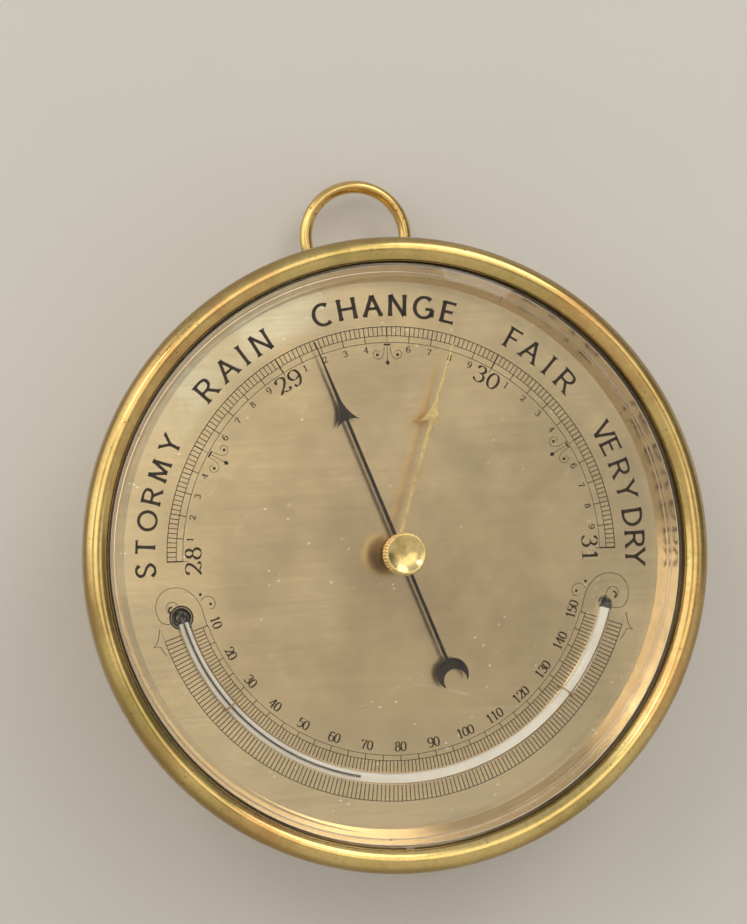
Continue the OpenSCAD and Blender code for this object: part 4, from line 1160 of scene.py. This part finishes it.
def tube_path(size, height, start, start_h, end, end_h=()):
    """The thermometer's line: up out of the left hole, along its arc, and down into the right one.

    Each bend is a quarter circle of TUBE_BEND. Angles run from the bottom of the dial, and an end
    without heights below the dial has no bend.
    """
    trim = math.degrees(TUBE_BEND / size.tube_arc)
    first = start + trim
    last = end - (trim if len(end_h) else 0)
    steps = max(8, int((last - first) / 1.1))
    along = np.linspace(first, last, steps)
    middle = np.c_[clock_point(size.tube_arc, 180 - along), np.full(steps, height)]
    lean = np.radians(np.linspace(90, 0, 9))[:, None]

    def bent(angle, meeting, heights):
        """The line from the depth of a hole up to the arc, without the point where they meet."""
        hole = np.array([*clock_point(size.tube_arc, 180 - angle), 0])
        inward = meeting * [1, 1, 0] - hole
        corner = hole + inward * (1 - np.sin(lean)) + [0, 0, height] - [0, 0, TUBE_BEND] * (1 - np.cos(lean))
        return np.vstack([np.c_[np.tile(hole[:2], (len(heights), 1)), heights], corner[:-1]])

    parts = [bent(start, middle[0], start_h), middle]
    if len(end_h):
        parts.append(bent(end, middle[-1], end_h[::-1])[::-1])
    return np.vstack(parts)


class BAROMETER_OT_thermometer(bpy.types.Operator):
    """Builds the bent glass tube with its bulb, its white backing and its mercury"""

    bl_idname = "barometer.thermometer"
    bl_label = "Thermometer"

    def execute(self, context):
        size = settings(context).scales
        height = DIAL_FACE + size.tube_r + 0.1
        foot = node_span("thermometer_tube")[1]
        rise = np.array([0, .15, .5, 1.3, 4.5, 7.3, 8.2, 8.7, 9.0, 9.5, 11.0])
        swell = [1.2, 2.0, 2.6, 3.0, 3.0, 3.0, 2.6, 2.0, 1.62, size.tube_r, size.tube_r]
        tip = np.array([DIAL_FACE - 0.35, DIAL_FACE - 0.55])
        path = tube_path(size, height, -size.tube_end, foot + rise, size.tube_end, tip)
        radii = np.full(len(path), size.tube_r)
        radii[:len(swell)] = swell
        radii[-1] = 0.9
        piece = swept("glass_tube", path, path * [1, 1, 0], radii, 32)
        place(piece, "case", "white_glass", "thermometer_tube", "thermometer_glass")
        backing = Marks(height - 0.62, height - 0.32)
        reach = size.tube_end - 1.4
        backing.stroke(clock_point(size.tube_arc, 180 - np.linspace(-reach, reach, 130)), 1.3)
        place(backing.piece("tube_backing"), "case", "white_glass", finish="white_enamel")
        rise = np.array([.6, .75, 1.1, 1.7, 7.0, 7.6, 8.1, 8.6, 11.0])
        swell = [0.7, 1.5, 2.1, 2.4, 2.4, 2.1, 1.4, 0.3, size.bore]
        path = tube_path(size, height, -size.tube_end, foot + rise, -size.reading)
        radii = np.full(len(path), size.bore)
        radii[:len(swell)] = swell
        piece = swept("mercury_column", path, path * [1, 1, 0], radii, 20)
        place(piece, "case", "mercury", "mercury_thread")
        return {"FINISHED"}


class BAROMETER_OT_pressure_scale(bpy.types.Operator):
    """Engraves the scale of inches: its arcs, divisions, numerals and ornaments"""

    bl_idname = "barometer.pressure_scale"
    bl_label = "Pressure scale"

    def execute(self, context):
        size = settings(context).scales
        marks = Marks(DIAL_FACE - CUT_DEPTH, DIAL_FACE + size.proud)
        marks.arc(size.outer, -90.2, 90.2, 0.20)
        marks.arc(size.hatch, -90, 90, 0.16)
        marks.arc(size.inner, -90, 90, 0.14)
        for step in range(151):
            angle = -90 + INCH_TURN / 50 * step
            if step % 50 == 0:
                marks.tick(angle, size.inner, size.outer, 0.34)
                marks.tick(angle, size.inner - 1.1, size.inner, 0.14)
            elif step % 25 == 0:
                marks.tick(angle, size.hatch, size.outer, 0.30)
                marks.tick(angle, size.inner, size.hatch, 0.12)
            elif step % 5 == 0:
                marks.tick(angle, size.inner, size.outer, 0.20)
            else:
                marks.tick(angle, size.hatch, size.outer, 0.19)
        for inch in range(28, 32):
            write(marks, inch, size.inner - 2.5, INCH_TURN * (inch - 29.5), 3.9, 0.20, 0.66,
                  pitch=0.94, broad=1.25)
        for tenth in range(1, 30):
            digit = tenth % 10
            if digit not in (0, 5):
                write(marks, digit, size.inner - 1.55, -90 + INCH_TURN / 10 * tenth, 1.45, 0.15, 0.27,
                      broad=1.15)
        for half_inch in (-1, 0, 1):
            scroll(marks, size.inner - 0.5, half_inch * INCH_TURN)
        marks.engrave("pressure_scale")
        return {"FINISHED"}


def scroll(marks, radius, angle):
    """The half-inch ornament: a bar and a stem with a lozenge, between two curls round dots."""
    marks.stroke(on_dial([(-.85, 0), (.85, 0)], radius, angle), 0.42)
    marks.stroke(on_dial([(0, 0), (0, -4.0)], radius, angle), 0.12)
    lozenge = on_dial([(0, -3.7), (0, -4.4), (0, -5.1)], radius, angle)
    marks.stroke(lozenge, np.array([0.05, 1.1, 0.05]))
    curl = curve((.75, -.5), (.95, -2.2), (1.9, -3.5), (3.2, -3.1), (3.5, -2.1), (2.8, -1.4), (2.0, -1.8))
    for side in (-1, 1):
        marks.stroke(on_dial(curl * [side, 1], radius, angle), 0.12)
        marks.dot(on_dial([(side * 2.5, -2.5)], radius, angle)[0], 0.36)


def end_scroll(marks, side):
    """The ornament at an end of the thermometer: a great loop, two curls, dots and a leaf."""
    loop = curve((46.0, -15.4), (46.6, -13.4), (47.3, -10.9), (48.7, -8.6), (51.0, -6.7), (53.9, -6.2),
                 (56.5, -7.2), (58.0, -9.6), (58.0, -12.2), (57.0, -14.2), (55.4, -14.8), (53.2, -14.2),
                 (52.3, -12.4), (53.0, -10.2), (54.6, -9.6), (55.6, -10.6), (55.3, -12.0), (54.5, -12.4))
    curl = curve((47.4, -9.6), (46.6, -8.7), (45.2, -8.5), (44.0, -9.6), (44.2, -11.2), (45.3, -11.5))
    leaf = curve((57.4, -15.9), (57.6, -17.4), (58.0, -19.0), (58.9, -20.2))
    foot = curve((58.9, -20.2), (57.3, -20.1), (56.7, -21.2), (55.8, -22.4))
    hook = curve((54.2, -10.8), (54.9, -11.0), (55.0, -11.8), (54.5, -12.3))
    for path, width in ((loop, 0.14), (curl, 0.13), (leaf, 0.16), (foot, 0.14), (hook, 0.4)):
        marks.stroke(path * [side, 1], width)
    for x, y, radius in ((45.0, -10.3, .33), (47.4, -8.0, .35), (57.0, -16.4, .10), (56.8, -17.1, .11),
                         (56.5, -17.8, .12), (56.3, -18.4, .12)):
        marks.dot((side * x, y), radius)


class BAROMETER_OT_thermometer_scale(bpy.types.Operator):
    """Engraves the thermometer's scale: its arcs, degrees, numbers and end ornaments, and a ring of painted
    shade round the bulb's hole
    """

    bl_idname = "barometer.thermometer_scale"
    bl_label = "Thermometer scale"

    def execute(self, context):
        size = settings(context).scales
        marks = Marks(DIAL_FACE - CUT_DEPTH, DIAL_FACE + size.proud)
        first = 180 + HEAT_TURN * 70
        last = 180 - HEAT_TURN * 70
        for radius, width in ((size.heat_outer, 0.17), (size.heat_hatch, 0.15), (size.heat_inner, 0.12)):
            marks.arc(radius, first, last, width)
        for degree in range(10, 151):
            angle = 180 - HEAT_TURN * (degree - 80)
            inner = size.heat_inner if degree % 5 == 0 else size.heat_hatch
            marks.tick(angle, inner, size.tube_arc - 0.9, 0.19)
            marks.tick(angle, size.tube_arc + 0.9, size.heat_outer, 0.20)
            if degree % 10 == 0:
                write(marks, degree, size.heat_inner - 2.1, angle, 2.3, 0.15, 0.40, inward=True)
        for side in (-1, 1):
            end_scroll(marks, side)
        # A black ring round the bulb's hole: painted shade at the hole's edge.
        rim = clock_point(size.tube_arc, 180 + size.tube_end)
        marks.stroke(rim + arc((0, 0), size.hole_rim, 0, 360, 41), 0.42)
        marks.engrave("thermometer_scale")
        return {"FINISHED"}


class BAROMETER_OT_weather_words(bpy.types.Operator):
    """Engraves the plain weather words round the dial"""

    bl_idname = "barometer.weather_words"
    bl_label = "Weather words"

    def execute(self, context):
        size = settings(context).scales
        marks = Marks(DIAL_FACE - CUT_DEPTH, DIAL_FACE + size.proud)
        words = (
            ("STORMY", 4.5, 0.78, 0.12, (-91.8, -86.5, -80.5, -74.9, -68.8, -62.4)),
            ("RAIN", 5.1, 0.84, 0.15, (-47.4, -40.8, -35.9, -30.8)),
            ("CHANGE", 5.0, 0.98, 0.09, (-15.1, -9.2, -3.2, 2.7, 8.9, 14.9)),
            ("FAIR", 5.0, 0.78, 0.16, (31.4, 36.5, 41.8, 47.1)),
            ("VERY", 4.8, 0.78, 0.12, (61.9, 65.9, 71.3, 76.6)),
            ("DRY", 4.8, 0.84, 0.12, (83.1, 88.2, 92.3)),
        )
        strokes = letter_strokes()
        for word, height, thick, foot, places in words:
            for letter, angle in zip(word, places):
                for stroke in strokes[letter]:
                    stroke, widths = flared(stroke, 0.72 * thick, thick, 0.35)
                    marks.stroke(on_dial(stroke * height, size.words, angle), widths)
                for stroke in serifs(strokes[letter], foot):
                    marks.stroke(on_dial(stroke * height, size.words, angle), 0.28)
        marks.engrave("weather_words")
        return {"FINISHED"}


class BAROMETER_OT_camera(bpy.types.Operator):
    """Sets the camera where the photograph was taken from"""

    bl_idname = "barometer.camera"
    bl_label = "Camera"

    def execute(self, context):
        studio = settings(context).studio
        turn = math.radians(studio.azimuth)
        rise = math.radians(studio.elevation)
        roll = math.radians(studio.roll)
        back = Vector((math.sin(turn) * math.cos(rise), -math.cos(turn) * math.cos(rise),
                       math.sin(rise)))
        right = Vector((math.cos(turn), math.sin(turn), 0))
        up = back.cross(right)
        level = right * math.cos(roll) + up * math.sin(roll)
        above = up * math.cos(roll) - right * math.sin(roll)
        place_at = (back * studio.distance + level * studio.right + above * studio.up) * MM
        hang = Matrix.Rotation(math.radians(studio.tilt), 3, "Y")
        axes = [hang @ axis for axis in (level, above, back)]
        place_at = hang @ place_at + Vector((0, -DIAL_FACE * MM, 0))
        camera = bpy.data.objects.new("camera", bpy.data.cameras.new("camera"))
        camera.data.lens = studio.lens
        camera.data.sensor_width = 36.0
        camera.data.clip_start = 0.01
        camera.data.clip_end = 50.0
        turn_matrix = Matrix(axes).transposed().to_4x4()
        camera.matrix_world = Matrix.Translation(place_at) @ turn_matrix
        context.scene.collection.objects.link(camera)
        context.scene.camera = camera
        context.scene.view_settings.view_transform = "Standard"
        return {"FINISHED"}


def backdrop(pale):
    """The pale matt finish of the wall and floor, clear from behind."""
    nodes, shader, vector = new_material("pale_backdrop", 0.0, roughness=0.9, specular_ior_level=0.1)
    cloud = nodes.between(nodes.noise(vector, 3.0, 4.0, 0.6), 0.3, 0.7)
    nodes.feed(shader, base_color=nodes.mix(cloud, pale, scaled(pale, 0.96)))
    nodes.clear_where(nodes.add("ShaderNodeNewGeometry").outputs["Backfacing"], shader)


def add_lamp(name, at, wide, power, tint):
    """A round soft lamp that faces the barometer."""
    lamp = bpy.data.lights.new(name, "AREA")
    lamp.shape = "DISK"
    lamp.size = wide
    lamp.energy = power
    lamp.color = tint
    holder = bpy.data.objects.new(name, lamp)
    way = Vector(at) - LAMP_TARGET
    holder.matrix_world = Matrix.Translation(at) @ way.to_track_quat("Z", "Y").to_matrix().to_4x4()
    bpy.context.scene.collection.objects.link(holder)


def build_world():
    """The room that the metal mirrors: a sky from dark below to pale above, a warm glow in front
    with a darker window in it, a soft box at the left and a dim side at the right."""
    world = bpy.data.worlds.new("studio")
    world.use_nodes = True
    nodes = Nodes(world.node_tree)
    way = nodes.add("ShaderNodeTexCoord").outputs["Generated"]
    split = nodes.add("ShaderNodeSeparateXYZ")
    nodes.link(way, split.inputs[0])
    across, height = split.outputs["X"], split.outputs["Z"]
    sky = nodes.mix(nodes.between(height, -0.7, 0.8), (0.09, 0.082, 0.075), (0.50, 0.51, 0.53))
    near = nodes.between(nodes.toward(way, (0.193, -0.981, 0.0)), 0.74, 0.90)
    window = nodes.between(nodes.toward(way, (0.285, -0.957, -0.04)), 0.955, 0.992, 1.0, 0.08)
    glow = nodes.times(nodes.times(near, nodes.between(height, -0.44, -0.24)), window)
    sky = nodes.mix(glow, sky, (1.52, 1.38, 1.14))
    soft_box = nodes.between(nodes.toward(way, (-0.90, -0.33, 0.28)), 0.78, 0.87)
    sky = nodes.mix(soft_box, sky, (1.5, 1.45, 1.38))
    sky = nodes.mix(nodes.between(across, 0.35, 0.8, 0.0, 0.6), sky, (0.05, 0.045, 0.04))
    nodes.feed(world.node_tree.nodes["Background"], color=sky, strength=1.0)
    return world


class BAROMETER_OT_stage(bpy.types.Operator):
    """Sets the pale wall and floor, the soft lamps and the world's light"""

    bl_idname = "barometer.stage"
    bl_label = "Stage"

    def execute(self, context):
        studio = settings(context).studio
        backdrop(studio.pale)
        angle = np.linspace(0, 2 * np.pi, 96, endpoint=False)
        square = STAGE_REACH / np.maximum(np.abs(np.cos(angle)), np.abs(np.sin(angle)))
        rows = [np.stack([radius * np.cos(angle), radius * np.sin(angle), np.full(96, WALL_HEIGHT)], -1)
                for radius in (square, np.full(96, WALL_HOLE))]
        wall = add_mesh("wall", np.concatenate(rows), [grid_quads(2, 96)])
        corners = [(x, studio.floor, height) for x, height in (
            (-STAGE_REACH, -2), (STAGE_REACH, -2), (STAGE_REACH, 3000), (-STAGE_REACH, 3000))]
        floor = add_mesh("floor", corners, [[[3, 2, 1, 0]]])
        for part in (wall, floor):
            part.data.materials.append(bpy.data.materials["pale_backdrop"])
        for lamp in LAMPS:
            add_lamp(*lamp)
        context.scene.world = build_world()
        return {"FINISHED"}


GROUPS = (
    ("barometer_case", CaseSizes),
    ("barometer_hands", HandSizes),
    ("barometer_scales", ScaleSizes),
    ("barometer_colours", FinishColours),
    ("barometer_studio", StudioSettings),
)

MAKERS = (
    BAROMETER_OT_camera,
    BAROMETER_OT_finishes,
    BAROMETER_OT_bezel,
    BAROMETER_OT_ring,
    BAROMETER_OT_glass,
    BAROMETER_OT_surround,
    BAROMETER_OT_pressure_hand,
    BAROMETER_OT_set_hand,
    BAROMETER_OT_knob,
    BAROMETER_OT_thermometer,
    BAROMETER_OT_pressure_scale,
    BAROMETER_OT_thermometer_scale,
    BAROMETER_OT_weather_words,
    BAROMETER_OT_stage,
)


class BAROMETER_PT_panel(bpy.types.Panel):
    """Lists the settings and the steps that build the barometer"""

    bl_idname = "BAROMETER_PT_panel"
    bl_label = "Barometer"
    bl_space_type = "VIEW_3D"
    bl_region_type = "UI"
    bl_category = "Barometer"

    def draw(self, context):
        layout = self.layout
        for maker in MAKERS:
            layout.operator(maker.bl_idname)
        for name, group in GROUPS:
            box = layout.box()
            box.label(text=group.__name__)
            holder = getattr(context.scene, name)
            for key in group.__annotations__:
                box.prop(holder, key)


def register():
    """Registers the settings, the makers and the panel."""
    for name, group in GROUPS:
        bpy.utils.register_class(group)
        setattr(bpy.types.Scene, name, bpy.props.PointerProperty(type=group))
    for maker in MAKERS:
        bpy.utils.register_class(maker)
    bpy.utils.register_class(BAROMETER_PT_panel)


def unregister():
    """Takes the panel, the makers and the settings out again."""
    bpy.utils.unregister_class(BAROMETER_PT_panel)
    for maker in reversed(MAKERS):
        bpy.utils.unregister_class(maker)
    for name, group in reversed(GROUPS):
        delattr(bpy.types.Scene, name)
        bpy.utils.unregister_class(group)


def main():
    """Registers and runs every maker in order."""
    register()
    for maker in MAKERS:
        group, name = maker.bl_idname.split(".")
        result = getattr(getattr(bpy.ops, group), name)()
        if result != {"FINISHED"}:
            raise RuntimeError(maker.bl_label + " wasn't built")


if __name__ == "__main__":
    main()
